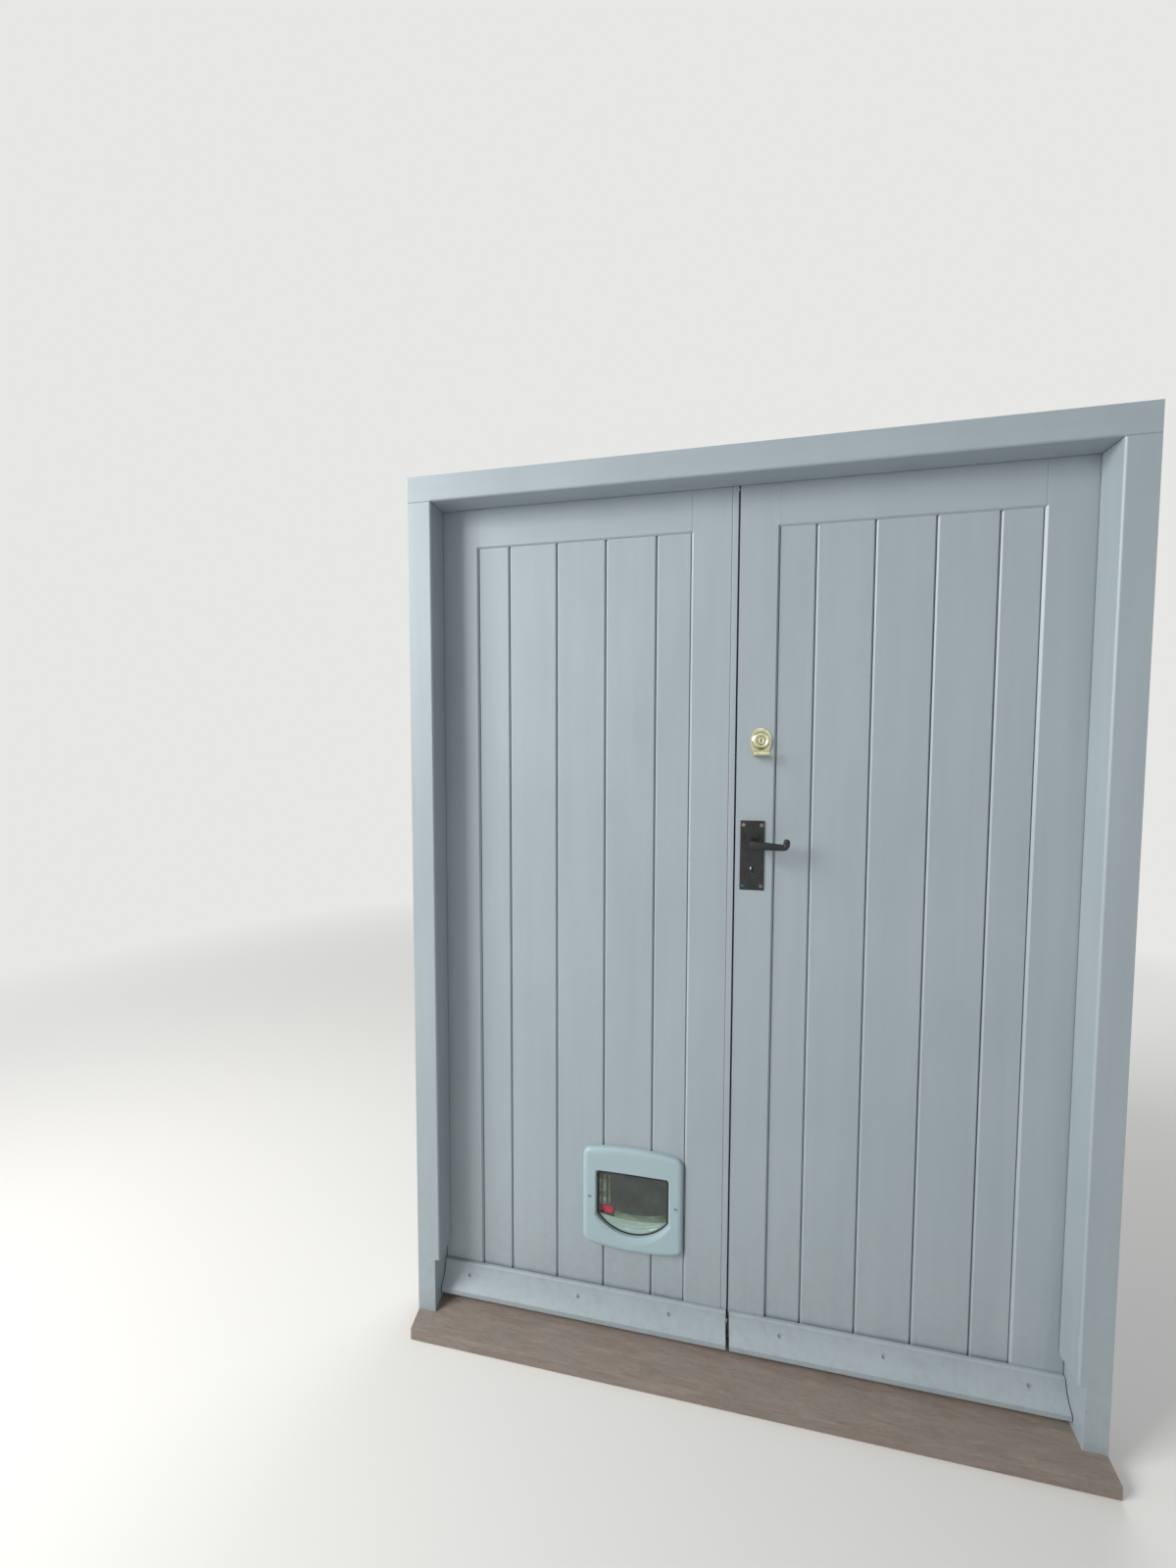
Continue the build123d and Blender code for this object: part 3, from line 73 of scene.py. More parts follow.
# Studio: a plain pale floor under the sill, a soft key light from the left in front of
# the doors, a weaker one from the right, one behind them, and an even pale surround.
class Finish:
    """A procedural material, built node by node on its own shader."""

    def __init__(self, name):
        self.material = bpy.data.materials.new(name)
        self.material.use_nodes = True
        self.tree = self.material.node_tree
        self.shader = self.tree.nodes["Principled BSDF"]
        self.place = self.node("TexCoord").outputs["Object"]

    def node(self, kind, **settings):
        made = self.tree.nodes.new("ShaderNode" + kind)
        for key, value in settings.items():
            setattr(made, key, value)
        return made

    def feed(self, socket, value):
        if isinstance(value, bpy.types.NodeSocket):
            self.tree.links.new(value, socket)
        else:
            socket.default_value = value

    def set(self, **values):
        for key, value in values.items():
            self.feed(self.shader.inputs[key.replace("_", " ")], value)

    def stretched(self, scale):
        """The piece's own coordinates, scaled apart along X, Y and Z."""
        mapping = self.node("Mapping")
        self.feed(mapping.inputs["Vector"], self.place)
        mapping.inputs["Scale"].default_value = scale
        return mapping.outputs["Vector"]

    def noise(self, scale, detail=3.0, roughness=0.55, distortion=0.0):
        """Cloudy variation; scale is how often it changes along X, Y and Z, per metre."""
        made = self.node("TexNoise")
        self.feed(made.inputs["Vector"], self.stretched(scale))
        for key, value in (("Scale", 1.0), ("Detail", detail), ("Roughness", roughness),
                           ("Distortion", distortion)):
            made.inputs[key].default_value = value
        return made.outputs["Fac"]

    def cells(self, scale):
        """Rounded cells, that many to the metre along X, Y and Z."""
        made = self.node("TexVoronoi")
        self.feed(made.inputs["Vector"], self.stretched(scale))
        made.inputs["Scale"].default_value = 1.0
        return made.outputs["Distance"]

    def ramp(self, value, low, high, start=0.0, end=1.0):
        """value rising from start to end while it runs from low to high."""
        made = self.node("MapRange", clamp=True)
        for socket, number in zip(made.inputs[:5], (value, low, high, start, end)):
            self.feed(socket, number)
        return made.outputs["Result"]

    def math(self, kind, a, b=0.0):
        made = self.node("Math", operation=kind)
        self.feed(made.inputs[0], a)
        self.feed(made.inputs[1], b)
        return made.outputs[0]

    def mix(self, share, a, b):
        """Colour a with that share of colour b over it."""
        made = self.node("Mix", data_type="RGBA")
        for key, value in ((0, share), (6, a), (7, b)):
            self.feed(made.inputs[key], value)
        return made.outputs[2]

    def along(self, axis):
        """The coordinate along one axis, in metres."""
        made = self.node("SeparateXYZ")
        self.feed(made.inputs[0], self.place)
        return made.outputs[axis]

    def hollow(self, reach):
        """1 on open faces, falling in grooves and corners narrower than reach."""
        made = self.node("AmbientOcclusion", samples=6)
        made.inputs["Distance"].default_value = reach
        return made.outputs["AO"]

    def relief(self, height, depth, before=None):
        """Surface relief of that depth in metres, over any relief before it."""
        made = self.node("Bump")
        made.inputs["Strength"].default_value = 1.0
        made.inputs["Distance"].default_value = depth
        self.feed(made.inputs["Height"], height)
        if before is not None:
            self.feed(made.inputs["Normal"], before)
        return made.outputs["Normal"]


def shade(red, green, blue):
    """A colour named as on a screen, 0 to 255, as the shader takes it."""
    def linear(level):
        level /= 255.0
        return level / 12.92 if level <= 0.04045 else ((level + 0.055) / 1.055) ** 2.4
    return (linear(red), linear(green), linear(blue), 1.0)


def studio_lamp(name, place, aim, size, power, colour):
    data = bpy.data.lights.new(name, "AREA")
    data.shape, data.size, data.size_y = "RECTANGLE", size[0], size[1]
    data.energy, data.color = power, colour
    lamp = bpy.data.objects.new(name, data)
    lamp.location = place
    lamp.rotation_mode = "QUATERNION"
    lamp.rotation_quaternion = (Vector(aim) - Vector(place)).to_track_quat("-Z", "Y")
    bpy.context.scene.collection.objects.link(lamp)
    lamp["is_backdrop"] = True


floor_end = 9.0
floor_mesh = bpy.data.meshes.new("studio floor")
floor_mesh.from_pydata([(-floor_end, -floor_end, 0), (floor_end, -floor_end, 0),
                        (floor_end, floor_end, 0), (-floor_end, floor_end, 0)], [],
                       [(0, 1, 2, 3)])
floor = bpy.data.objects.new("studio floor", floor_mesh)
floor.location.z = -0.001
bpy.context.scene.collection.objects.link(floor)
floor_finish = Finish("pale floor")
floor_finish.set(Base_Color=shade(226, 225, 222), Roughness=0.9)
floor_mesh.materials.append(floor_finish.material)
floor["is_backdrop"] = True

# Well away from the doors the floor runs out into the surround, as a studio sweep does.
surround_shade = (0.80, 0.80, 0.79, 1.0)
sweep_start, sweep_end = 2.0, 4.6
distance = floor_finish.node("VectorMath", operation="LENGTH")
floor_finish.feed(distance.inputs[0], floor_finish.place)
sight = floor_finish.node("LightPath")
in_sight = sight.outputs["Is Camera Ray"]
for ray in ("Is Transmission Ray", "Is Glossy Ray"):
    in_sight = floor_finish.math("MAXIMUM", in_sight, sight.outputs[ray])
away = floor_finish.ramp(distance.outputs["Value"], sweep_start, sweep_end)
glow = floor_finish.node("Emission")
glow.inputs["Color"].default_value = surround_shade
sweep = floor_finish.node("MixShader")
floor_finish.feed(sweep.inputs[0], floor_finish.math("MULTIPLY", away, in_sight))
floor_finish.feed(sweep.inputs[1], floor_finish.shader.outputs[0])
floor_finish.feed(sweep.inputs[2], glow.outputs[0])
floor_output = floor_finish.tree.nodes["Material Output"]
floor_finish.feed(floor_output.inputs["Surface"], sweep.outputs[0])

studio_lamp("key light", (-3.2, -2.1, 2.7), (0.1, 0.0, 1.0), (1.6, 2.2), 195.0,
            (1.0, 0.99, 0.97))
studio_lamp("fill light", (1.6, -3.4, 2.0), (0.0, 0.0, 0.9), (2.4, 2.0), 9.0, (0.95, 0.97, 1.0))
studio_lamp("back light", (1.4, 3.4, 2.4), (0.0, 0.0, 1.0), (3.0, 2.4), 60.0, (1.0, 1.0, 1.0))

world = bpy.data.worlds.new("studio")
bpy.context.scene.world = world
world.use_nodes = True
air = world.node_tree
surround = air.nodes["Background"]
surround.inputs["Color"].default_value = (0.96, 0.98, 1.0, 1.0)
surround.inputs["Strength"].default_value = 0.36
backdrop = air.nodes.new("ShaderNodeBackground")
backdrop.inputs["Color"].default_value = surround_shade
backdrop.inputs["Strength"].default_value = 1.0
rays = air.nodes.new("ShaderNodeLightPath")
seen = rays.outputs["Is Camera Ray"]
for ray in ("Is Transmission Ray", "Is Glossy Ray"):
    either = air.nodes.new("ShaderNodeMath")
    either.operation = "MAXIMUM"
    air.links.new(seen, either.inputs[0])
    air.links.new(rays.outputs[ray], either.inputs[1])
    seen = either.outputs[0]
choice = air.nodes.new("ShaderNodeMixShader")
air.links.new(seen, choice.inputs[0])
air.links.new(surround.outputs[0], choice.inputs[1])
air.links.new(backdrop.outputs[0], choice.inputs[2])
air.links.new(choice.outputs[0], air.nodes["World Output"].inputs[0])
bpy.context.scene.view_settings.view_transform = "Standard"


# Door frame: head and two jambs of planed softwood, rebated for the leaves and tenoned
# together, with brushed satin paint. The arris of each edge is rubbed round before painting.
paint_colour = shade(156, 167, 172)
paint_shade = shade(149, 161, 166)
splash_colour, splash_share = shade(118, 112, 98), 0.26
splash_full, splash_end = 0.05, 0.42
# Colour and strength of the painted shade laid into grooves and corners.
groove_shade_colour, groove_shade_share = shade(62, 66, 66), 0.8
brush_lines, grain_lines = 420.0, 34.0


def brushed_paint(name, grain):
    """Satin paint with brush lines and faint wood grain along one axis, 0 for X and 2 for Z;
    grooves and corners are darkened with painted shade.
    """
    finish = Finish(name)
    fine, broad = [brush_lines] * 3, [grain_lines] * 3
    fine[grain], broad[grain] = 7.0, 1.6
    brush = finish.noise(fine, detail=4.0, roughness=0.65)
    grainy = finish.noise(broad, detail=5.0, roughness=0.6, distortion=0.35)
    cloud = finish.noise((5.5, 5.5, 2.6), detail=4.0)
    tone = finish.mix(finish.ramp(cloud, 0.3, 0.7), paint_shade, paint_colour)
    tone = finish.mix(finish.ramp(grainy, 0.4, 0.75, 0.0, 0.25), tone, shade(138, 149, 156))
    tone = finish.mix(finish.ramp(brush, 0.5, 0.8, 0.0, 0.10), tone, shade(172, 182, 188))
    spots = finish.noise((60.0, 60.0, 45.0), detail=6.0, roughness=0.7)
    low_down = finish.ramp(finish.along("Z"), splash_full, splash_end, 1.0, 0.0)
    wet = finish.math("MULTIPLY", low_down, finish.ramp(spots, 0.46, 0.72))
    tone = finish.mix(finish.math("MULTIPLY", wet, splash_share), tone, splash_colour)
    # Grooves and corners narrower than 6 mm are darkened towards the dark grey: painted shade.
    groove_shade = finish.ramp(finish.hollow(0.006), 0.08, 0.42, groove_shade_share, 0.0)
    tone = finish.mix(groove_shade, tone, groove_shade_colour)
    finish.set(Base_Color=tone, Roughness=finish.ramp(cloud, 0.3, 0.7, 0.40, 0.52))
    relief = finish.relief(grainy, 0.00012)
    relief = finish.relief(brush, 0.00004, relief)
    finish.set(Normal=relief)
    return finish.material


def round_edges(obj, width, limit):
    """Rounds the edges that turn by more than limit degrees."""
    bevel = obj.modifiers.new("eased edges", "BEVEL")
    bevel.width, bevel.segments = width, 2
    bevel.limit_method, bevel.angle_limit = "ANGLE", radians(limit)
    return bevel


def crisp_corners(obj, limit):
    """Keeps shading apart where faces meet at more than limit degrees."""
    corners = obj.modifiers.new("sharp corners", "EDGE_SPLIT")
    corners.split_angle = radians(limit)


def even_shading(obj):
    """Lets the large faces lead the shading at each corner."""
    normals = obj.modifiers.new("normals", "WEIGHTED_NORMAL")
    normals.keep_sharp = False


def dress(name, material, width):
    """One finish on a piece of the frame, its edges rounded by width; 0 keeps them crisp."""
    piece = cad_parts[name]
    piece.data.materials.clear()
    piece.data.materials.append(material)
    for face in piece.data.polygons:
        face.material_index = 0
    weld = piece.modifiers.new("weld", "WELD")
    weld.merge_threshold = 0.000002
    if width > 0:
        flat = piece.modifiers.new("flat faces", "DECIMATE")
        flat.decimate_type, flat.angle_limit = "DISSOLVE", radians(0.6)
        bevel = round_edges(piece, width, 30.0)
        bevel.use_clamp_overlap = bevel.loop_slide = False
        bevel.miter_outer = "MITER_ARC"
    crisp_corners(piece, 50.0 if width > 0 else 25.0)
    even_shading(piece)


upright_paint = brushed_paint("brushed paint upright", 2)
level_paint = brushed_paint("brushed paint level", 0)
dress("frame_head", level_paint, 0.0012)
dress("frame_jamb_left", upright_paint, 0.0012)
dress("frame_jamb_right", upright_paint, 0.0012)


# Sill and water bar: an oiled hardwood sill, tongued into the jambs' feet, weathered brown and
# grey with green in the grain, and the galvanised bar let into it under the leaves.
def weathered_hardwood(name):
    finish = Finish(name)
    grain = finish.noise((11.0, 80.0, 80.0), detail=6.0, roughness=0.66, distortion=0.6)
    pores = finish.noise((70.0, 700.0, 700.0), detail=3.0, roughness=0.6)
    patches = finish.noise((12.0, 22.0, 22.0), detail=6.0, roughness=0.68)
    tone = finish.mix(finish.ramp(grain, 0.3, 0.7), shade(118, 106, 97), shade(144, 131, 121))
    tone = finish.mix(finish.ramp(patches, 0.44, 0.66, 0.0, 0.6), tone, shade(127, 122, 117))
    moss = finish.noise((17.0, 30.0, 30.0), detail=6.0, roughness=0.7)
    tone = finish.mix(finish.ramp(moss, 0.6, 0.74, 0.0, 0.45), tone, shade(108, 112, 90))
    tone = finish.mix(finish.ramp(pores, 0.5, 0.72, 0.0, 0.35), tone, shade(78, 68, 60))
    finish.set(Base_Color=tone, Roughness=finish.ramp(patches, 0.3, 0.7, 0.62, 0.82))
    relief = finish.relief(grain, 0.0004)
    finish.set(Normal=finish.relief(pores, 0.0002, relief))
    return finish.material


def plated_steel(name, bright=shade(176, 178, 180), dull=shade(128, 130, 132)):
    """Zinc plate: a dull bluish grey with a soft spangle and rubbed patches."""
    finish = Finish(name)
    patches = finish.noise((70.0, 70.0, 70.0), detail=5.0, roughness=0.6)
    spangle = finish.cells((240.0, 240.0, 240.0))
    tone = finish.mix(finish.ramp(patches, 0.35, 0.7), dull, bright)
    finish.set(Base_Color=tone, Metallic=0.9,
               Roughness=finish.ramp(patches, 0.3, 0.7, 0.34, 0.55))
    finish.set(Normal=finish.relief(spangle, 0.00004))
    return finish.material


zinc = plated_steel("zinc plated steel")
dress("sill", weathered_hardwood("weathered hardwood"), 0.0018)
dress("water_bar", zinc, 0.0006)


# Stiles, rails and ledges of the two leaves: planed softwood with through grain, mortised
# and tenoned, chamfered round the boards and painted with the frame.
for side in ("left_", "right_"):
    for part in ("hinge_stile", "meeting_stile"):
        dress(side + part, upright_paint, 0.0)
    for part in ("top_rail", "middle_ledge", "bottom_ledge"):
        dress(side + part, level_paint, 0.0007)


# Boards: five tongued and grooved boards in each leaf, with an open vee along each joint
# where the wood has shrunk a little. Three of the left leaf's are cut out for the cat flap.
mm = 0.001
boarding = {"left": (-586.0, -91.0), "right": (93.0, 586.0)}
boards_a_leaf, board_cover = 5, 114.3
board_foot, board_top = 55.0, 1895.0
board_face, board_back = 4.0, 20.0
vee, vee_round, edge_arris, shrinkage = 4.0, 0.7, 2.6, 0.9
tongue_front, tongue_back, tongue_reach = 9.6, 14.4, 6.6
groove_slack, groove_room = 0.3, 0.8
flap_cut = ((-304.0, -1.0, 255.0), (-120.0, 46.0, 423.0))
foot_rebate = ((-700.0, -1.0, 54.0), (700.0, 15.0, 62.0))


def rounded(corners, steps=4):
    """A closed outline. A corner with a third number is rounded to that radius."""
    outline = []
    for index, corner in enumerate(corners):
        here = Vector(corner[:2])
        if len(corner) < 3 or corner[2] <= 0.0:
            outline.append(here)
            continue
        before = (Vector(corners[index - 1][:2]) - here).normalized()
        after = (Vector(corners[(index + 1) % len(corners)][:2]) - here).normalized()
        opening = before.angle(after)
        reach = corner[2] / abs(sin(opening / 2) / cos(opening / 2))
        middle = here + (before + after).normalized() * (corner[2] / sin(opening / 2))
        first, last = here + before * reach - middle, here + after * reach - middle
        swing = first.angle(last)
        for step in range(steps + 1):
            share = step / steps
            outline.append(middle + (first * sin((1 - share) * swing) + last * sin(share * swing))
                           / sin(swing))
    return outline


def place_point(axis, pair, along):
    """A point in metres from an outline pair and a distance along axis, both in millimetres."""
    a, b = pair
    return {"X": Vector((along, a, b)), "Y": Vector((a, along, b)),
            "Z": Vector((a, b, along))}[axis] * mm


def new_piece(name, bm, body, material, smooth=False):
    """A finished mesh as an object that rides on its body."""
    bmesh.ops.recalc_face_normals(bm, faces=bm.faces)
    mesh = bpy.data.meshes.new(name)
    bm.to_mesh(mesh)
    bm.free()
    piece = bpy.data.objects.new(name, mesh)
    bpy.context.scene.collection.objects.link(piece)
    mesh.materials.append(material)
    if smooth:
        mesh.shade_smooth()
    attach(piece, body)
    return piece


def sawn(outline, axis, low, high):
    """The mesh of a straight length with that outline across it."""
    bm = bmesh.new()
    rings = [[bm.verts.new(place_point(axis, pair, along)) for pair in outline]
             for along in (low, high)]
    bm.faces.new(rings[0])
    bm.faces.new(rings[1])
    for index in range(len(outline)):
        nxt = (index + 1) % len(outline)
        bm.faces.new((rings[0][index], rings[0][nxt], rings[1][nxt], rings[1][index]))
    return bm


def box_cutter(low, high):
    outline = [(low[0], low[1]), (high[0], low[1]), (high[0], high[1]), (low[0], high[1])]
    return sawn(outline, "Z", low[2], high[2])


def carve(bm, *cutters):
    """Cuts meshes out of a mesh, as a saw or a drill would."""
    def temporary(made):
        bmesh.ops.recalc_face_normals(made, faces=made.faces)
        mesh = bpy.data.meshes.new("cut")
        made.to_mesh(mesh)
        made.free()
        obj = bpy.data.objects.new("cut", mesh)
        bpy.context.scene.collection.objects.link(obj)
        return obj

    stock = temporary(bm)
    tools = [temporary(cutter) for cutter in cutters]
    for tool in tools:
        cut = stock.modifiers.new("cut", "BOOLEAN")
        cut.operation, cut.solver, cut.object = "DIFFERENCE", "EXACT", tool
    bpy.context.view_layer.update()
    done = stock.evaluated_get(bpy.context.evaluated_depsgraph_get())
    result = bmesh.new()
    result.from_mesh(done.to_mesh())
    done.to_mesh_clear()
    for obj in [stock] + tools:
        mesh = obj.data
        bpy.data.objects.remove(obj)
        bpy.data.meshes.remove(mesh)
    return result


def board_outline(low, high, first, last):
    """Across one board: a tongue on its left and a groove on its right, or two tongues."""
    left, right = low + shrinkage, high - shrinkage
    face, edge = board_face, edge_arris if first else vee
    shape = [(left, face + edge - shrinkage), (low + edge, face, vee_round)]
    if last:
        shape += [(high - edge_arris, face, vee_round), (right, face + edge_arris - shrinkage),
                  (right, tongue_front), (high + tongue_reach, tongue_front),
                  (high + tongue_reach, tongue_back), (right, tongue_back)]
    else:
        groove_foot = right - tongue_reach - groove_room
        groove_front, groove_back = tongue_front - groove_slack, tongue_back + groove_slack
        shape += [(high - vee, face, vee_round), (right, face + vee - shrinkage),
                  (right, groove_front), (groove_foot, groove_front),
                  (groove_foot, groove_back), (right, groove_back)]
    shape += [(right, board_back, 0.5), (left, board_back, 0.5), (left, tongue_back),
              (low - tongue_reach, tongue_back), (low - tongue_reach, tongue_front),
              (left, tongue_front)]
    return rounded(shape)


def joints_of(low, high):
    """The joint lines: three boards of full cover between two narrower ones."""
    edge = (high - low - 3 * board_cover) / 2
    return [low, low + edge, low + edge + board_cover, low + edge + 2 * board_cover,
            high - edge, high]


for side, (low, high) in boarding.items():
    lines = joints_of(low, high)
    for index in range(boards_a_leaf):
        outline = board_outline(lines[index], lines[index + 1], index == 0,
                                index == boards_a_leaf - 1)
        cutters = [box_cutter(*foot_rebate)]
        if side == "left" and index >= 2:
            cutters.append(box_cutter(*flap_cut))
        bm = carve(sawn(outline, "Z", board_foot, board_top), *cutters)
        name = f"{side}_board_{index + 1}"
        board = new_piece("vee_" + name, bm, side + "_leaf", upright_paint)
        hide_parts(name)


# Weather bars: moulded softwood drips across the feet of the leaves, screwed on through
# sunk holes and painted over. The tops are rounded and the hollow throws the rain clear.
weather_ends = {"left": (-684.0, 5.0), "right": (13.0, 684.0)}
weather_screws = {"left": (-122.0, -338.5, -617.0), "right": (124.0, 339.5, 617.0)}
weather_foot, weather_top, weather_nose, top_depth = 61.0, 125.0, -35.0, -9.0
hollow_head, hollow_foot, hollow_depth, hollow_steps = 119.0, 73.0, 4.5, 12
drip_front, drip_back, drip_depth = -29.0, -23.0, 4.0
sunk_level, sunk_radius, sunk_to = 100.0, 4.5, -12.6


def drilled(centre, axis, radius, low, high, sides=24):
    """A round cutter along an axis; centre holds the other two coordinates."""
    ring = [(centre[0] + radius * cos(2 * pi * k / sides),
             centre[1] + radius * sin(2 * pi * k / sides)) for k in range(sides)]
    return sawn(ring, axis, low, high)


def weather_moulding():
    """Across a weather bar, in Y and Z: a hollowed slope over a nose with a drip groove."""
    start, end = Vector((top_depth, hollow_head)), Vector((weather_nose, hollow_foot))
    chord = end - start
    inward = Vector((-chord.y, chord.x)).normalized()
    shape = [(0.0, weather_foot), (0.0, weather_top, 0.8), (top_depth, weather_top, 4.2)]
    for step in range(hollow_steps + 1):
        share = step / hollow_steps
        point = start + chord * share + inward * hollow_depth * 4 * share * (1 - share)
        shape.append((point.x, point.y, 1.0 if step == hollow_steps else 0.0))
    drip_top = weather_foot + drip_depth
    shape += [(weather_nose, weather_foot, 1.2), (drip_front, weather_foot, 0.6),
              (drip_front, drip_top, 1.5), (drip_back, drip_top, 1.5),
              (drip_back, weather_foot, 0.6)]
    return rounded(shape)


def soften(piece, width):
    """Rounds the edges that sawing left."""
    bevel = round_edges(piece, width, 35.0)
    bevel.use_clamp_overlap = True
    piece.data.shade_smooth()
    even_shading(piece)


for side, (low, high) in weather_ends.items():
    holes = [drilled((x, sunk_level), "Y", sunk_radius, weather_nose - 5.0, sunk_to)
             for x in weather_screws[side]]
    bm = carve(sawn(weather_moulding(), "X", low, high), *holes)
    bar = new_piece(side + "_weather_moulding", bm, side + "_leaf", level_paint)
    soften(bar, 0.0006)
    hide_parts(side + "_weather_bar")


# Brush seal: a strip of black pile let into the left leaf's meeting edge near its inner
# face. Its tufts close the gap between the leaves.
def plain_plastic(name, colour, rough, dusty=0.12):
    finish = Finish(name)
    cloud = finish.noise((35.0, 35.0, 35.0), detail=4.0)
    speck = finish.noise((900.0, 900.0, 900.0), detail=2.0)
    tone = finish.mix(finish.ramp(cloud, 0.35, 0.75, 0.0, dusty), colour, shade(150, 148, 140))
    finish.set(Base_Color=tone, Roughness=finish.ramp(cloud, 0.3, 0.7, rough, rough + 0.12))
    finish.set(Normal=finish.relief(speck, 0.00003))
    return finish.material


pile_pitch, pile_low, pile_high = 4.0, 66.0, 1984.0
pile_root, pile_tip, pile_unevenness = 7.0, 10.7, 0.25
pile_rows = ((35.0, 0.0), (37.0, 1.9))
bm = bmesh.new()
for step in range(int((pile_high - pile_low) / pile_pitch)):
    foot = pile_low + step * pile_pitch
    tip = pile_tip + pile_unevenness * sin(step * 2.4)
    for front, lift in pile_rows:
        corners = [(pile_root, front, 0.2), (pile_root, front + 1.8, 0.2),
                   (pile_root, front + 1.8, 3.8), (pile_root, front, 3.8),
                   (tip, front + 0.5, 0.0), (tip, front + 1.3, 0.0),
                   (tip, front + 1.3, pile_pitch), (tip, front + 0.5, pile_pitch)]
        tuft = [bm.verts.new(Vector((x, y, min(foot + lift + z, pile_high))) * mm)
                for x, y, z in corners]
        for face in ((0, 1, 2, 3), (4, 5, 6, 7), (0, 1, 5, 4), (1, 2, 6, 5), (2, 3, 7, 6),
                     (3, 0, 4, 7)):
            bm.faces.new([tuft[k] for k in face])
black_pile = plain_plastic("black pile", shade(28, 28, 29), 0.85, 0.04)
new_piece("meeting_brush_seal", bm, "left_leaf", black_pile)


# Butt hinges, their pins and all the wood screws: pressed steel, zinc plated. The screws
# that show on the outside have dulled to nearly black.
for name in ("frame_hinge_plates", "left_hinge_plates", "right_hinge_plates", "hinge_pins"):
    dress(name, zinc, 0.0003)
tarnished = plated_steel("tarnished screws", shade(74, 74, 74), shade(38, 38, 39))
for name in ("frame_screws", "left_leaf_screws", "right_leaf_screws"):
    dress(name, tarnished, 0.00015)


# Sash lock and its keep: a pressed steel case in the right leaf's edge with a brass bolt
# pair, worked by a cast follower on a square bar, and a plain keep in the left leaf.
def worn_brass(name, bright, dull, rough):
    finish = Finish(name)
    patches = finish.noise((55.0, 55.0, 55.0), detail=5.0, roughness=0.65)
    scratches = finish.noise((1500.0, 200.0, 90.0), detail=3.0)
    tone = finish.mix(finish.ramp(patches, 0.35, 0.72), bright, dull)
    # Crevices darken towards dark brown: some tarnish, with painted shade to deepen the contrast.
    tarnish_and_shade = finish.ramp(finish.hollow(0.010), 0.40, 0.92, 0.9, 0.0)
    tone = finish.mix(tarnish_and_shade, tone, shade(64, 54, 32))
    finish.set(Base_Color=tone, Metallic=1.0,
               Roughness=finish.ramp(patches, 0.3, 0.75, rough, rough + 0.22))
    finish.set(Normal=finish.relief(scratches, 0.00002))
    return finish.material


brass = worn_brass("bolt brass", shade(202, 172, 104), shade(150, 124, 72), 0.26)
for name, metal in (("lock_case", zinc), ("lock_keep", zinc), ("lock_follower", zinc),
                    ("spindle", zinc), ("latch_bolt", brass), ("dead_bolt", brass)):
    dress(name, metal, 0.0004)


# Lock plates and levers: black japanned iron castings with a lightly hammered face, held
# by four screws a side. Each lever stands off its plate and turns up at the end.
def black_iron(name):
    finish = Finish(name)
    hammer = finish.cells((190.0, 190.0, 190.0))
    cloud = finish.noise((45.0, 45.0, 45.0), detail=5.0, roughness=0.6)
    fine = finish.noise((700.0, 700.0, 700.0), detail=2.0)
    tone = finish.mix(finish.ramp(cloud, 0.35, 0.75), shade(27, 28, 29), shade(44, 45, 46))
    dust = finish.ramp(finish.hollow(0.006), 0.3, 0.9, 0.35, 0.0)
    tone = finish.mix(dust, tone, shade(84, 82, 76))
    finish.set(Base_Color=tone, Metallic=0.2,
               Roughness=finish.ramp(cloud, 0.3, 0.7, 0.36, 0.52))
    relief = finish.relief(hammer, 0.0004)
    finish.set(Normal=finish.relief(fine, 0.00004, relief))
    return finish.material


iron = black_iron("black iron")
for name in ("outside_plate", "inside_plate"):
    dress(name, iron, 0.0005)
rubbed_steel = plated_steel("rubbed plate screws", shade(150, 148, 142), shade(52, 52, 52))
dress("plate_screws", rubbed_steel, 0.00015)

spindle_at, lever_droop, leaf_thickness = (46.5, 1210.5), radians(3.0), 44.0
arm_root, arm_slim, arm_horn = 9.6, 6.8, 6.4
arm_length, arm_bend, arm_rise = 59.2, 6.9, 6.0
arm_middle, arm_depth, arm_sides = -43.0, 5.9, 28
# The round neck between plate and arm, as radius and Y.
boss_profile = [(7.9, -3.3), (11.0, -3.4), (11.0, -5.4), (10.2, -6.6), (10.4, -8.2), (9.6, -12.0),
                (8.3, -16.0), (7.4, -20.0), (7.1, -28.0), (7.3, -34.0), (8.2, -38.0), (8.0, -40.0)]


def lofted(rings, close_ends=True):
    """A skin over rings of equally many points, in metres."""
    bm = bmesh.new()
    made = [[bm.verts.new(point) for point in ring] for ring in rings]
    count = len(made[0])
    for lower, upper in zip(made, made[1:]):
        for k in range(count):
            bm.faces.new((lower[k], lower[(k + 1) % count], upper[(k + 1) % count], upper[k]))
    if close_ends:
        bm.faces.new(made[0])
        bm.faces.new(made[-1])
    return bm


def turned(profile, centre, sides=40):
    """A round part about an axis along Y; the profile holds radius and Y pairs."""
    rings = [[Vector((centre[0] + radius * cos(2 * pi * k / sides), y,
                      centre[1] + radius * sin(2 * pi * k / sides))) * mm
              for k in range(sides)] for radius, y in profile]
    return lofted(rings)


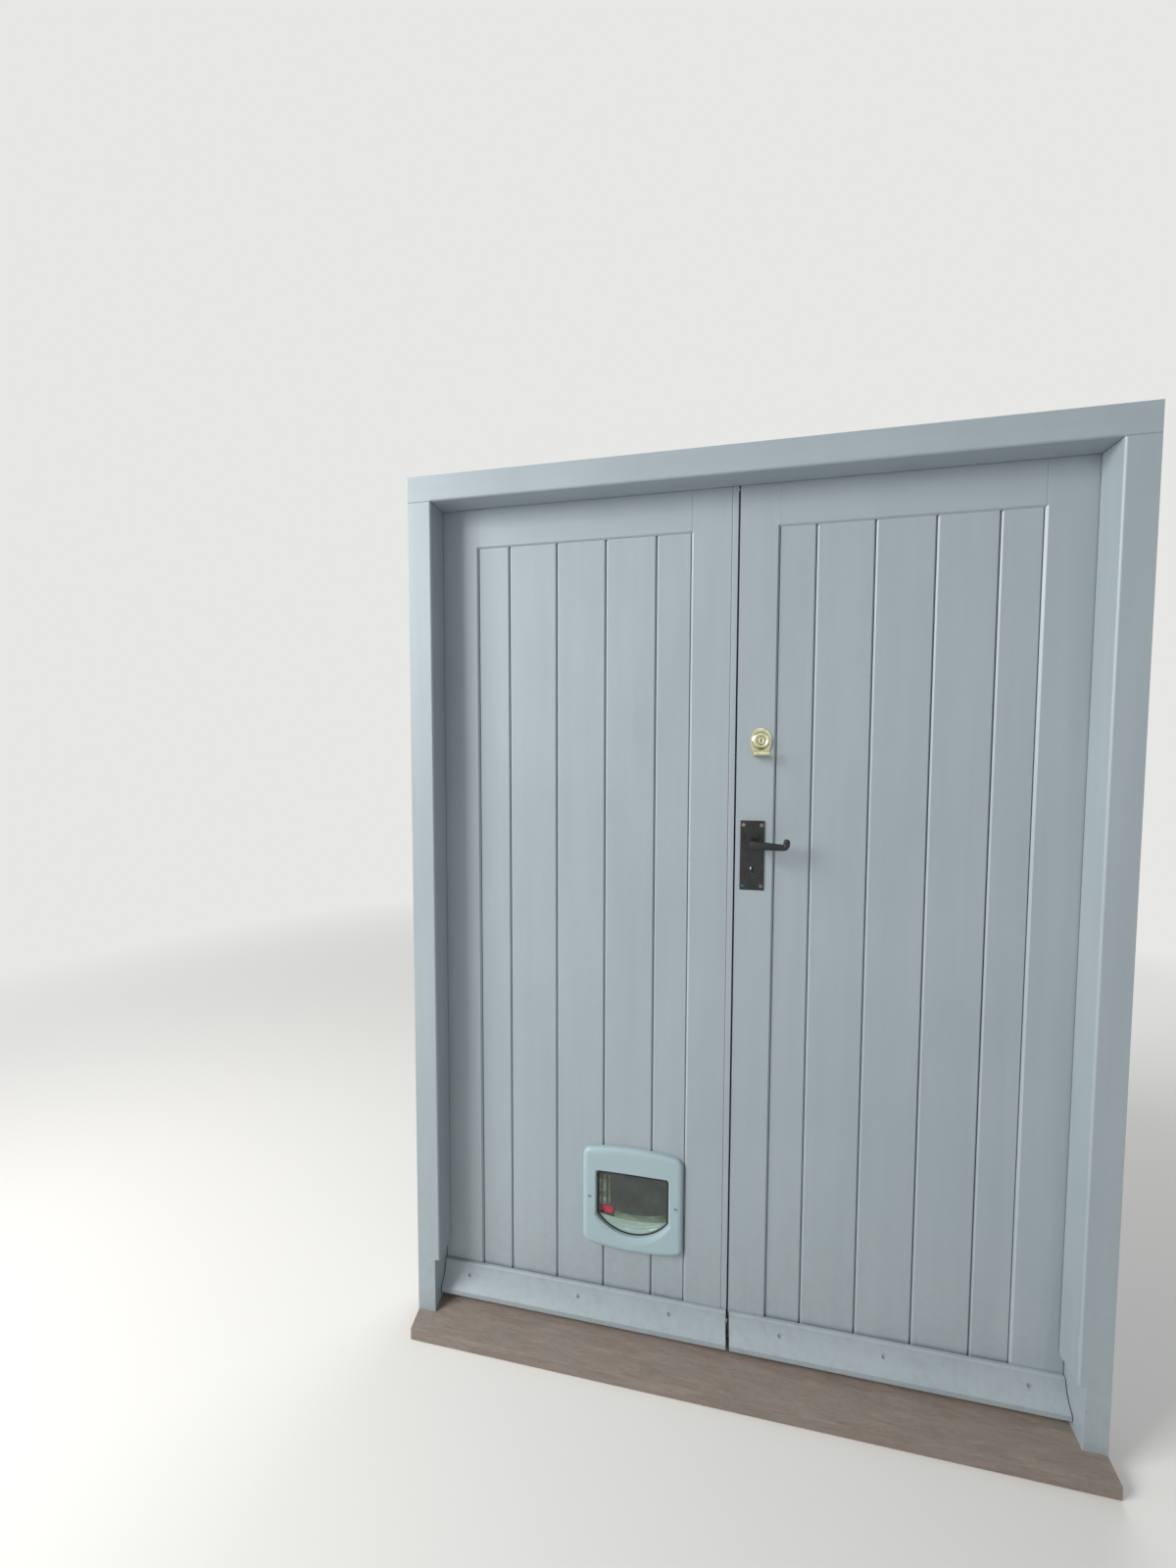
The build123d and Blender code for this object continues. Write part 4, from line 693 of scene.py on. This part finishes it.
def arm_stations():
    """Middle, heading and half height of the arm: its round tail, taper, bend and horn."""
    stations = []
    for k in range(7):
        angle = radians(4 + 86 * k / 6)
        stations.append((-arm_root * cos(angle), 0.0, 0.0, arm_root * sin(angle)))
    for k in range(1, 13):
        share = k / 12
        stations.append((arm_length * share, 0.0, 0.0,
                         arm_root + (arm_slim - arm_root) * share ** 0.8))
    for k in range(1, 9):
        angle = radians(90 * k / 8)
        stations.append((arm_length + arm_bend * sin(angle), arm_bend * (1 - cos(angle)), angle,
                         arm_slim + (arm_horn - arm_slim) * k / 8))
    horn_x, horn_z, horn_half = arm_length + arm_bend, arm_bend + arm_rise, arm_horn + 0.2
    stations.append((horn_x, horn_z - 2.0, radians(90), horn_half))
    for k in range(6):
        angle = radians(86 * k / 5)
        stations.append((horn_x, horn_z + arm_horn * 0.9 * sin(angle), radians(90),
                         horn_half * cos(angle)))
    return stations


def squared(part, power):
    """A sine or cosine drawn out, so that a round section turns nearly square."""
    return abs(part) ** power * (1 if part >= 0 else -1)


def lever_arm():
    rings = []
    for x, z, heading, half in arm_stations():
        ring = []
        depth = arm_depth * (0.62 + 0.38 * min(1.0, half / 4.0))
        for k in range(arm_sides):
            angle = 2 * pi * k / arm_sides
            out, deep = half * squared(sin(angle), 0.78), depth * squared(cos(angle), 0.7)
            px, pz = x - out * sin(heading), z + out * cos(heading)
            ring.append(Vector((
                spindle_at[0] + px * cos(lever_droop) + pz * sin(lever_droop),
                arm_middle + deep,
                spindle_at[1] - px * sin(lever_droop) + pz * cos(lever_droop))) * mm)
        rings.append(ring)
    return lofted(rings)


def to_inside(bm):
    """The same part mirrored to the inner face of the leaf."""
    for vert in bm.verts:
        vert.co.y = leaf_thickness * mm - vert.co.y
    return bm


for side in ("outside", "inside"):
    arm, boss = lever_arm(), turned(boss_profile, spindle_at)
    if side == "inside":
        arm, boss = to_inside(arm), to_inside(boss)
    arm = new_piece(side + "_lever_arm", arm, "lever_handles", iron, smooth=True)
    smooth = arm.modifiers.new("cast skin", "SUBSURF")
    smooth.levels = smooth.render_levels = 1
    boss = new_piece(side + "_lever_boss", boss, "lever_handles", iron, smooth=True)
    soften(boss, 0.0004)
    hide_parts(side + "_lever")


# Rim cylinder: a pale brass ring round the turning plug, and behind it the pressed brass
# pull, a round-topped sheet whose foot is drawn out into a curled lip for the fingers.
pale_brass = worn_brass("pale brass", shade(236, 234, 200), shade(178, 172, 130), 0.20)
cylinder_at = (61.0, 1433.0)
ring_profile = [
    (15.0, 35.5), (15.4, 34.5), (15.4, -1.4), (19.4, -1.5), (19.4, -2.4), (18.8, -3.2),
    (18.2, -3.4), (18.0, -4.2), (17.6, -6.4), (16.6, -8.2), (15.2, -9.2), (13.6, -9.5),
    (12.2, -9.1), (11.4, -8.2), (10.6, -7.8), (8.9, -7.8), (8.4, -7.4), (8.3, -6.6),
    (8.3, 34.5), (8.9, 35.5)]
ring = new_piece("cylinder_ring", turned(ring_profile, cylinder_at, 56), "right_leaf",
                 pale_brass, smooth=True)
soften(ring, 0.0004)
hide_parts("rim_cylinder")
dress("cylinder_plug", pale_brass, 0.0003)

pull_face, half_sheet = -0.75, 0.7
pull_radius, pull_rise, pull_half_width = 22.0, 27.5, 17.0
pull_drop, pull_bend, pull_lip, pull_curl = 33.0, 4.0, 17.0, 5.3


def pull_lines():
    """Y, Z and half width down the sheet, out along the lip and round its curl."""
    lines = []
    for k in range(13):
        angle = radians(4 + 86 * k / 12)
        lines.append((pull_face, pull_rise * cos(angle), pull_radius * sin(angle)))
    for k in range(1, 9):
        share = k / 8
        drawn_in = share * share * (3 - 2 * share)
        lines.append((pull_face, -share * (pull_drop - pull_bend),
                      pull_radius + (pull_half_width - pull_radius) * drawn_in))
    for k in range(1, 6):
        angle = radians(90 * k / 5)
        lines.append((pull_face - pull_bend * (1 - cos(angle)),
                      -(pull_drop - pull_bend) - (pull_bend - half_sheet) * sin(angle),
                      pull_half_width))
    lip_level = -(pull_drop - half_sheet)
    lines.append((-0.5 * (pull_lip + 5.0), lip_level, pull_half_width))
    for k in range(11):
        angle = radians(150 * k / 10)
        lines.append((-pull_lip - pull_curl * sin(angle),
                      lip_level + pull_curl * (1 - cos(angle)),
                      pull_half_width - 0.5 * (1 - cos(angle))))
    return lines


bm = bmesh.new()
across = 16
rows = []
for y, z, half in pull_lines():
    rows.append([bm.verts.new(Vector((cylinder_at[0] + half * (2 * k / across - 1), y,
                                      cylinder_at[1] + z)) * mm) for k in range(across + 1)])
for lower, upper in zip(rows, rows[1:]):
    for k in range(across):
        bm.faces.new((lower[k], lower[k + 1], upper[k + 1], upper[k]))
pull = new_piece("pressed_finger_pull", bm, "right_leaf", pale_brass, smooth=True)
sheet = pull.modifiers.new("sheet", "SOLIDIFY")
sheet.thickness, sheet.offset = 2 * half_sheet * mm, 0.0
soften(pull, 0.0004)
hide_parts("cylinder_pull")


# Night latch on the inside: a cast case in hammered silver enamel with an oval knob, its
# bevelled brass bolt, and the box keep on the left leaf.
def hammered_enamel(name):
    finish = Finish(name)
    dimple = finish.cells((260.0, 260.0, 260.0))
    cloud = finish.noise((40.0, 40.0, 40.0), detail=4.0)
    tone = finish.mix(finish.ramp(dimple, 0.1, 0.7), shade(150, 152, 154), shade(112, 114, 117))
    finish.set(Base_Color=tone, Metallic=0.55,
               Roughness=finish.ramp(cloud, 0.3, 0.7, 0.3, 0.42))
    finish.set(Normal=finish.relief(dimple, 0.00025))
    return finish.material


enamel = hammered_enamel("hammered enamel")
for name, metal in (("night_latch_case", enamel), ("night_latch_keep", enamel),
                    ("night_latch_knob", enamel), ("night_latch_bolt", brass)):
    dress(name, metal, 0.0006)


# Tower bolts on the inside of the left leaf, with their staples on the head and the sill:
# pressed plates with two straps each, a round bar and a ball knob, all zinc plated.
for name in ("tower_bolt_plates", "top_bolt", "bottom_bolt", "bolt_staples"):
    dress(name, zinc, 0.0003)


# Cat flap frames: two mouldings in pale grey-blue plastic, screwed together through the
# boards. The outer one has a sleeve, slotted for the catch, in which the flap hangs.
flap_plastic = plain_plastic("flap plastic", shade(154, 175, 181), 0.34, 0.08)
flap_middle, flap_level = -212.0, 351.0
flap_half_width, flap_half_height, flap_bow, flap_corner = 118.0, 126.0, 12.0, 20.0
frame_front, frame_back, sleeve_end, sleeve_wall = -9.0, 4.0, 18.0, 4.0
hole_half, hole_top, hole_shoulder, hole_foot = 85.0, 416.0, 306.0, 262.0
hole_corner, least_corner, corner_room = 6.0, 2.0, 7.0
flap_centre = Vector((flap_middle, 345.0))
even_rays, least_turn = 120, 0.004


def arc_through(a, b, c, steps):
    """Points of the arc from a over b to c, without a."""
    ax, ay, bx, by, cx, cy = *a, *b, *c
    d = 2 * (ax * (by - cy) + bx * (cy - ay) + cx * (ay - by))
    ux = ((ax ** 2 + ay ** 2) * (by - cy) + (bx ** 2 + by ** 2) * (cy - ay)
          + (cx ** 2 + cy ** 2) * (ay - by)) / d
    uy = ((ax ** 2 + ay ** 2) * (cx - bx) + (bx ** 2 + by ** 2) * (ax - cx)
          + (cx ** 2 + cy ** 2) * (bx - ax)) / d
    middle = Vector((ux, uy))
    first, last = Vector(a) - middle, Vector(c) - middle
    swing = first.angle_signed(last)
    through = Vector(b) - middle
    if abs(first.angle_signed(through)) > abs(swing) + 1e-6:
        swing -= 2 * pi * (1 if swing > 0 else -1)
    return [tuple(middle + Matrix.Rotation(-swing * k / steps, 2) @ first)
            for k in range(1, steps + 1)]


def frame_outline():
    """The outside of a frame, clockwise from its upper left corner, with bowed head and foot."""
    left, right = flap_middle - flap_half_width, flap_middle + flap_half_width
    crown, sole = flap_level + flap_half_height, flap_level - flap_half_height
    taken_up = flap_corner * 1.02
    corners = []
    for start, peak, end in (((left, crown - flap_bow), crown, (right, crown - flap_bow)),
                             ((right, sole + flap_bow), sole, (left, sole + flap_bow))):
        *bow, end = arc_through(start, (flap_middle, peak), end, 24)
        clear = [point for point in bow if (Vector(point) - Vector(start)).length >= taken_up
                 and (Vector(point) - Vector(end)).length >= taken_up]
        corners += [(*start, flap_corner), *clear, (*end, flap_corner)]
    return rounded(corners, 8)


def hole_outline(extra=0.0):
    """The hole, or the line that far outside it."""
    left, right = flap_middle - hole_half - extra, flap_middle + hole_half + extra
    corner = max(hole_corner + extra, least_corner)
    corners = [(left, hole_top + extra, corner), (right, hole_top + extra, corner),
               (right, hole_shoulder)]
    corners += arc_through((right, hole_shoulder), (flap_middle, hole_foot - extra),
                           (left, hole_shoulder), 32)
    return rounded(corners, 5)


def reach(outline, centre, angle):
    """How far an outline is from centre along a ray at that angle."""
    ray = Vector((cos(angle), sin(angle)))
    best = 0.0
    for start, end in zip(outline, outline[1:] + outline[:1]):
        a, b = start - centre, end - centre
        edge = b - a
        cross = ray.x * edge.y - ray.y * edge.x
        if abs(cross) < 1e-9:
            continue
        far = (a.x * edge.y - a.y * edge.x) / cross
        share = (a.x * ray.y - a.y * ray.x) / cross
        if far > 0 and -1e-6 <= share <= 1 + 1e-6:
            best = max(best, far)
    return best


def ringed(outline, centre, angles, y, inset=0.0):
    """Points where rays meet an outline, moved in by inset: across the outline at first,
    and beyond corner_room towards the centre, so that corners don't fold."""
    flat = [centre + Vector((cos(a), sin(a))) * reach(outline, centre, a) for a in angles]
    moved = []
    for k in range(len(flat)):
        way = flat[(k + 1) % len(flat)] - flat[k - 1]
        inward = Vector((-way.y, way.x)).normalized()
        deep = max(0.0, inset - corner_room)
        moved.append(flat[k] + inward * (inset - deep) + (centre - flat[k]).normalized() * deep)
    return [Vector((p.x, y, p.y)) * mm for p in moved]


corner_angles = [-Vector((1, 0)).angle_signed(point - flap_centre)
                 for point in frame_outline() + hole_outline()]
ray_angles = sorted({round(a % (2 * pi), 3) for a in corner_angles}
                    | {round(2 * pi * k / even_rays, 3) for k in range(even_rays)})
ray_angles = [a for a, b in zip(ray_angles, ray_angles[1:] + [2 * pi + ray_angles[0]])
              if b - a > least_turn]

# How far in from the edge each ring of the face lies, and how deep behind the front.
shoulder = ((0.0, frame_back - frame_front), (0.0, 8.4), (0.5, 6.0), (1.9, 3.7), (4.2, 1.9),
            (7.4, 0.7), (11.0, 0.12), (14.0, 0.0), (15.5, 0.0))
# The same outwards from the hole. The chamfer grows about four times as wide at the foot.
chamfer = ((4.2, 0.0), (3.4, 0.0), (2.6, 0.5), (0.5, 2.6), (0.0, 3.6))
foot_widening = 3.2


def hole_ring(outset, y):
    """The rim of the hole, or a line outside it that swings wide at the foot."""
    hole = hole_outline()
    ring = []
    for a in ray_angles:
        wider = 1.0 + foot_widening * max(0.0, -sin(a)) ** 2
        point = flap_centre + Vector((cos(a), sin(a))) * (reach(hole, flap_centre, a)
                                                          + outset * wider)
        ring.append(Vector((point.x, y, point.y)) * mm)
    return ring


outside, sleeve = frame_outline(), hole_outline(sleeve_wall)
rings = [ringed(outside, flap_centre, ray_angles, frame_front + depth, inset)
         for inset, depth in shoulder]
rings += [hole_ring(outset, frame_front + depth) for outset, depth in chamfer]
rings += [hole_ring(0.0, sleeve_end),
          ringed(sleeve, flap_centre, ray_angles, sleeve_end),
          ringed(sleeve, flap_centre, ray_angles, frame_back)]
bm = lofted(rings + [rings[0]], close_ends=False)
bmesh.ops.remove_doubles(bm, verts=bm.verts, dist=1e-7)
tongue_slot = box_cutter((-304.0, 5.8, 310.6), (-296.0, 11.8, 321.4))
outer = new_piece("flap_outer_moulding", carve(bm, tongue_slot), "left_leaf",
                  flap_plastic, smooth=True)
crisp_corners(outer, 50.0)
even_shading(outer)
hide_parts("flap_outer_frame")
dress("flap_inner_frame", flap_plastic, 0.0005)


# The flap itself: a smoked pane with a slot for the red catch, a black rubber edge, and a
# roll with two pins at its head. A pale ribbed lip and a green band are moulded on its foot,
# their paler lower parts a painted reflection, and three olive ribs beside its left edge.
def smoked_pane(name):
    finish = Finish(name)
    haze = finish.noise((24.0, 24.0, 24.0), detail=5.0, roughness=0.6)
    tone = finish.mix(finish.ramp(haze, 0.3, 0.75), shade(38, 43, 41), shade(62, 70, 66))
    finish.set(Base_Color=tone, Coat_Weight=0.35,
               Roughness=finish.ramp(haze, 0.3, 0.75, 0.10, 0.28))
    return finish.material


pane_front, pane_back, pane_top, pane_slack = 3.0, 6.0, 406.0, 2.5
catch_slot = ((-288.0, 0.0, 306.5), (-257.0, 9.0, 325.5))
edge_front, edge_back, edge_top, edge_slack, edge_width = 1.6, 6.4, 403.0, 0.5, 4.2
roll_at, roll_radius, pin_radius = (4.5, 409.0), 3.6, 2.4


def all_above(level):
    """A cutter that squares off the flap at that level."""
    return box_cutter((-400.0, 0.0, level), (0.0, 12.0, 430.0))


bm = carve(sawn(hole_outline(-pane_slack), "Y", pane_front, pane_back), all_above(pane_top),
           box_cutter(*catch_slot))
pane = new_piece("smoked_flap_pane", bm, "flap", smoked_pane("smoked pane"))
soften(pane, 0.0003)
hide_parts("cat_flap")

rubber = plain_plastic("black rubber", shade(20, 20, 21), 0.55, 0.05)
bm = carve(sawn(hole_outline(-edge_slack), "Y", edge_front, edge_back),
           sawn(hole_outline(-edge_width), "Y", 0.0, 9.0), all_above(edge_top))
edge = new_piece("flap_rubber_edge", bm, "flap", rubber)
soften(edge, 0.0004)

roll = new_piece("flap_roll", drilled(roll_at, "X", roll_radius, -294.0, -130.0, 32), "flap",
                 rubber, smooth=True)
soften(roll, 0.0004)
pins = new_piece("flap_pins", drilled(roll_at, "X", pin_radius, -300.5, -123.5, 24), "flap",
                 rubber, smooth=True)
soften(pins, 0.0003)


def upward_darkening_plastic(name, low_tone, high_tone, low, high):
    """A plastic tone that darkens with height; on the lip and band the paler foot is a painted
    reflection.
    """
    finish = Finish(name)
    cloud = finish.noise((26.0, 26.0, 60.0), detail=4.0)
    tone = finish.mix(finish.ramp(finish.along("Z"), low, high), low_tone, high_tone)
    tone = finish.mix(finish.ramp(cloud, 0.4, 0.72, 0.0, 0.35), tone, shade(166, 182, 176))
    finish.set(Base_Color=tone, Roughness=finish.ramp(cloud, 0.3, 0.7, 0.16, 0.3))
    return finish.material


foot_edge = hole_outline(-edge_width - 0.1)
lip_left, lip_right, lip_top, lip_rise = -80.0, 80.0, 297.0, 8.0
band_left, band_gap, band_top, band_rise = -43.0, 0.4, 312.0, 14.0
hollow_half = 81.0
# Up the lip and the band, as a share of their height, and the Y of their surface there.
lip_profile = ((0.0, 3.1), (0.0, 2.2), (0.05, 1.7), (0.26, 1.6), (0.30, 2.5), (0.36, 2.5),
               (0.40, 1.7), (0.62, 1.6), (0.67, 2.5), (0.72, 2.4), (0.76, 1.6), (0.95, 1.7),
               (1.0, 2.3), (1.0, 3.1))
band_profile = ((0.0, 3.1), (0.0, 2.6), (0.45, 2.5), (0.9, 2.7), (1.0, 3.1))
rib_edges = ((-292.0, -286.5), (-283.0, -274.0), (-269.0, -264.5))
rib_foot, rib_head, rib_height = 328.0, 402.0, 1.0


def flap_foot(x):
    """The level of the flap's foot, inside the rubber edge, at x."""
    level = 1e9
    for a, b in zip(foot_edge, foot_edge[1:] + foot_edge[:1]):
        if min(a.x, b.x) <= x <= max(a.x, b.x) and abs(a.x - b.x) > 1e-6:
            level = min(level, a.y + (b.y - a.y) * (x - a.x) / (b.x - a.x))
    return level


def hollow_line(middle, rise):
    """A line across the flap, at that level in the middle and higher by rise at the ends."""
    def level_at(x):
        off_middle = (x - flap_middle) / hollow_half
        return middle + rise * off_middle * off_middle
    return level_at


def crescent(profile, left, right, foot, head):
    """A moulding between two lines across the flap."""
    columns, least_height = 49, 1.0
    bm = bmesh.new()
    made = []
    for share, y in profile:
        row = []
        for k in range(columns):
            x = flap_middle + left + (right - left) * k / (columns - 1)
            low = foot(x)
            high = max(low + least_height, head(x))
            row.append(bm.verts.new(Vector((x, y, low + (high - low) * share)) * mm))
        made.append(row)
    for lower, upper in zip(made, made[1:] + made[:1]):
        for k in range(columns - 1):
            bm.faces.new((lower[k], lower[k + 1], upper[k + 1], upper[k]))
    bm.faces.new([row[0] for row in made])
    bm.faces.new([row[-1] for row in made])
    return bm


# The lip and band are paler at the foot and darker at the top: a painted reflection across the
# moulding.
lip_tint_with_painted_reflection = upward_darkening_plastic("pale lip", shade(150, 172, 170), shade(132, 152, 142), 0.268, 0.300)
bm = crescent(lip_profile, lip_left, lip_right, flap_foot, hollow_line(lip_top, lip_rise))
lip = new_piece("pale_flap_lip", bm, "flap", lip_tint_with_painted_reflection)
soften(lip, 0.0004)
band_tint_with_painted_reflection = upward_darkening_plastic("green band", shade(104, 128, 108), shade(62, 74, 62), 0.299, 0.318)
bm = crescent(band_profile, band_left, lip_right, hollow_line(lip_top + band_gap, lip_rise),
              hollow_line(band_top, band_rise))
band = new_piece("green_flap_band", bm, "flap", band_tint_with_painted_reflection)
soften(band, 0.0003)
olive = upward_darkening_plastic("olive ribs", shade(84, 88, 62), shade(70, 74, 56), 0.33, 0.40)
for index, (low, high) in enumerate(rib_edges):
    face = pane_front - rib_height
    section = rounded([(low, pane_front), (high, pane_front), (high, face, 0.8),
                       (low, face, 0.8)])
    rib = new_piece(f"flap_rib_{index + 1}", sawn(section, "Z", rib_foot, rib_head), "flap",
                    olive)
    soften(rib, 0.0003)


# Catch: a red moulded slider in the pane's slot; its tongue runs into the sleeve to lock
# the flap, and a thin flange behind the pane keeps it from falling out.
red_plastic = plain_plastic("red plastic", shade(156, 40, 60), 0.32, 0.06)
grip = ((-279.5, 307.2, 2.0), (-257.8, 307.2, 2.0), (-257.8, 324.8, 2.0), (-279.5, 324.8, 2.0))
tongue = ((-294.4, 311.6, 1.0), (-278.0, 311.6), (-278.0, 320.4), (-294.4, 320.4, 1.0))
flange = ((-288.6, 305.4, 1.0), (-256.6, 305.4, 1.0), (-256.6, 326.6, 1.0),
          (-288.6, 326.6, 1.0))
catch_parts = {}
for name, outline, front, back, eased in (
        ("red_catch", grip, 2.4, 11.2, 0.0008), ("catch_tongue", tongue, 6.4, 11.0, 0.0005),
        ("catch_flange", flange, 6.6, 7.6, 0.0002)):
    catch_parts[name] = new_piece(name, sawn(rounded(outline), "Y", front, back), "catch",
                                  red_plastic)
    soften(catch_parts[name], eased)
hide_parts("flap_catch")

low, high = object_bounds()
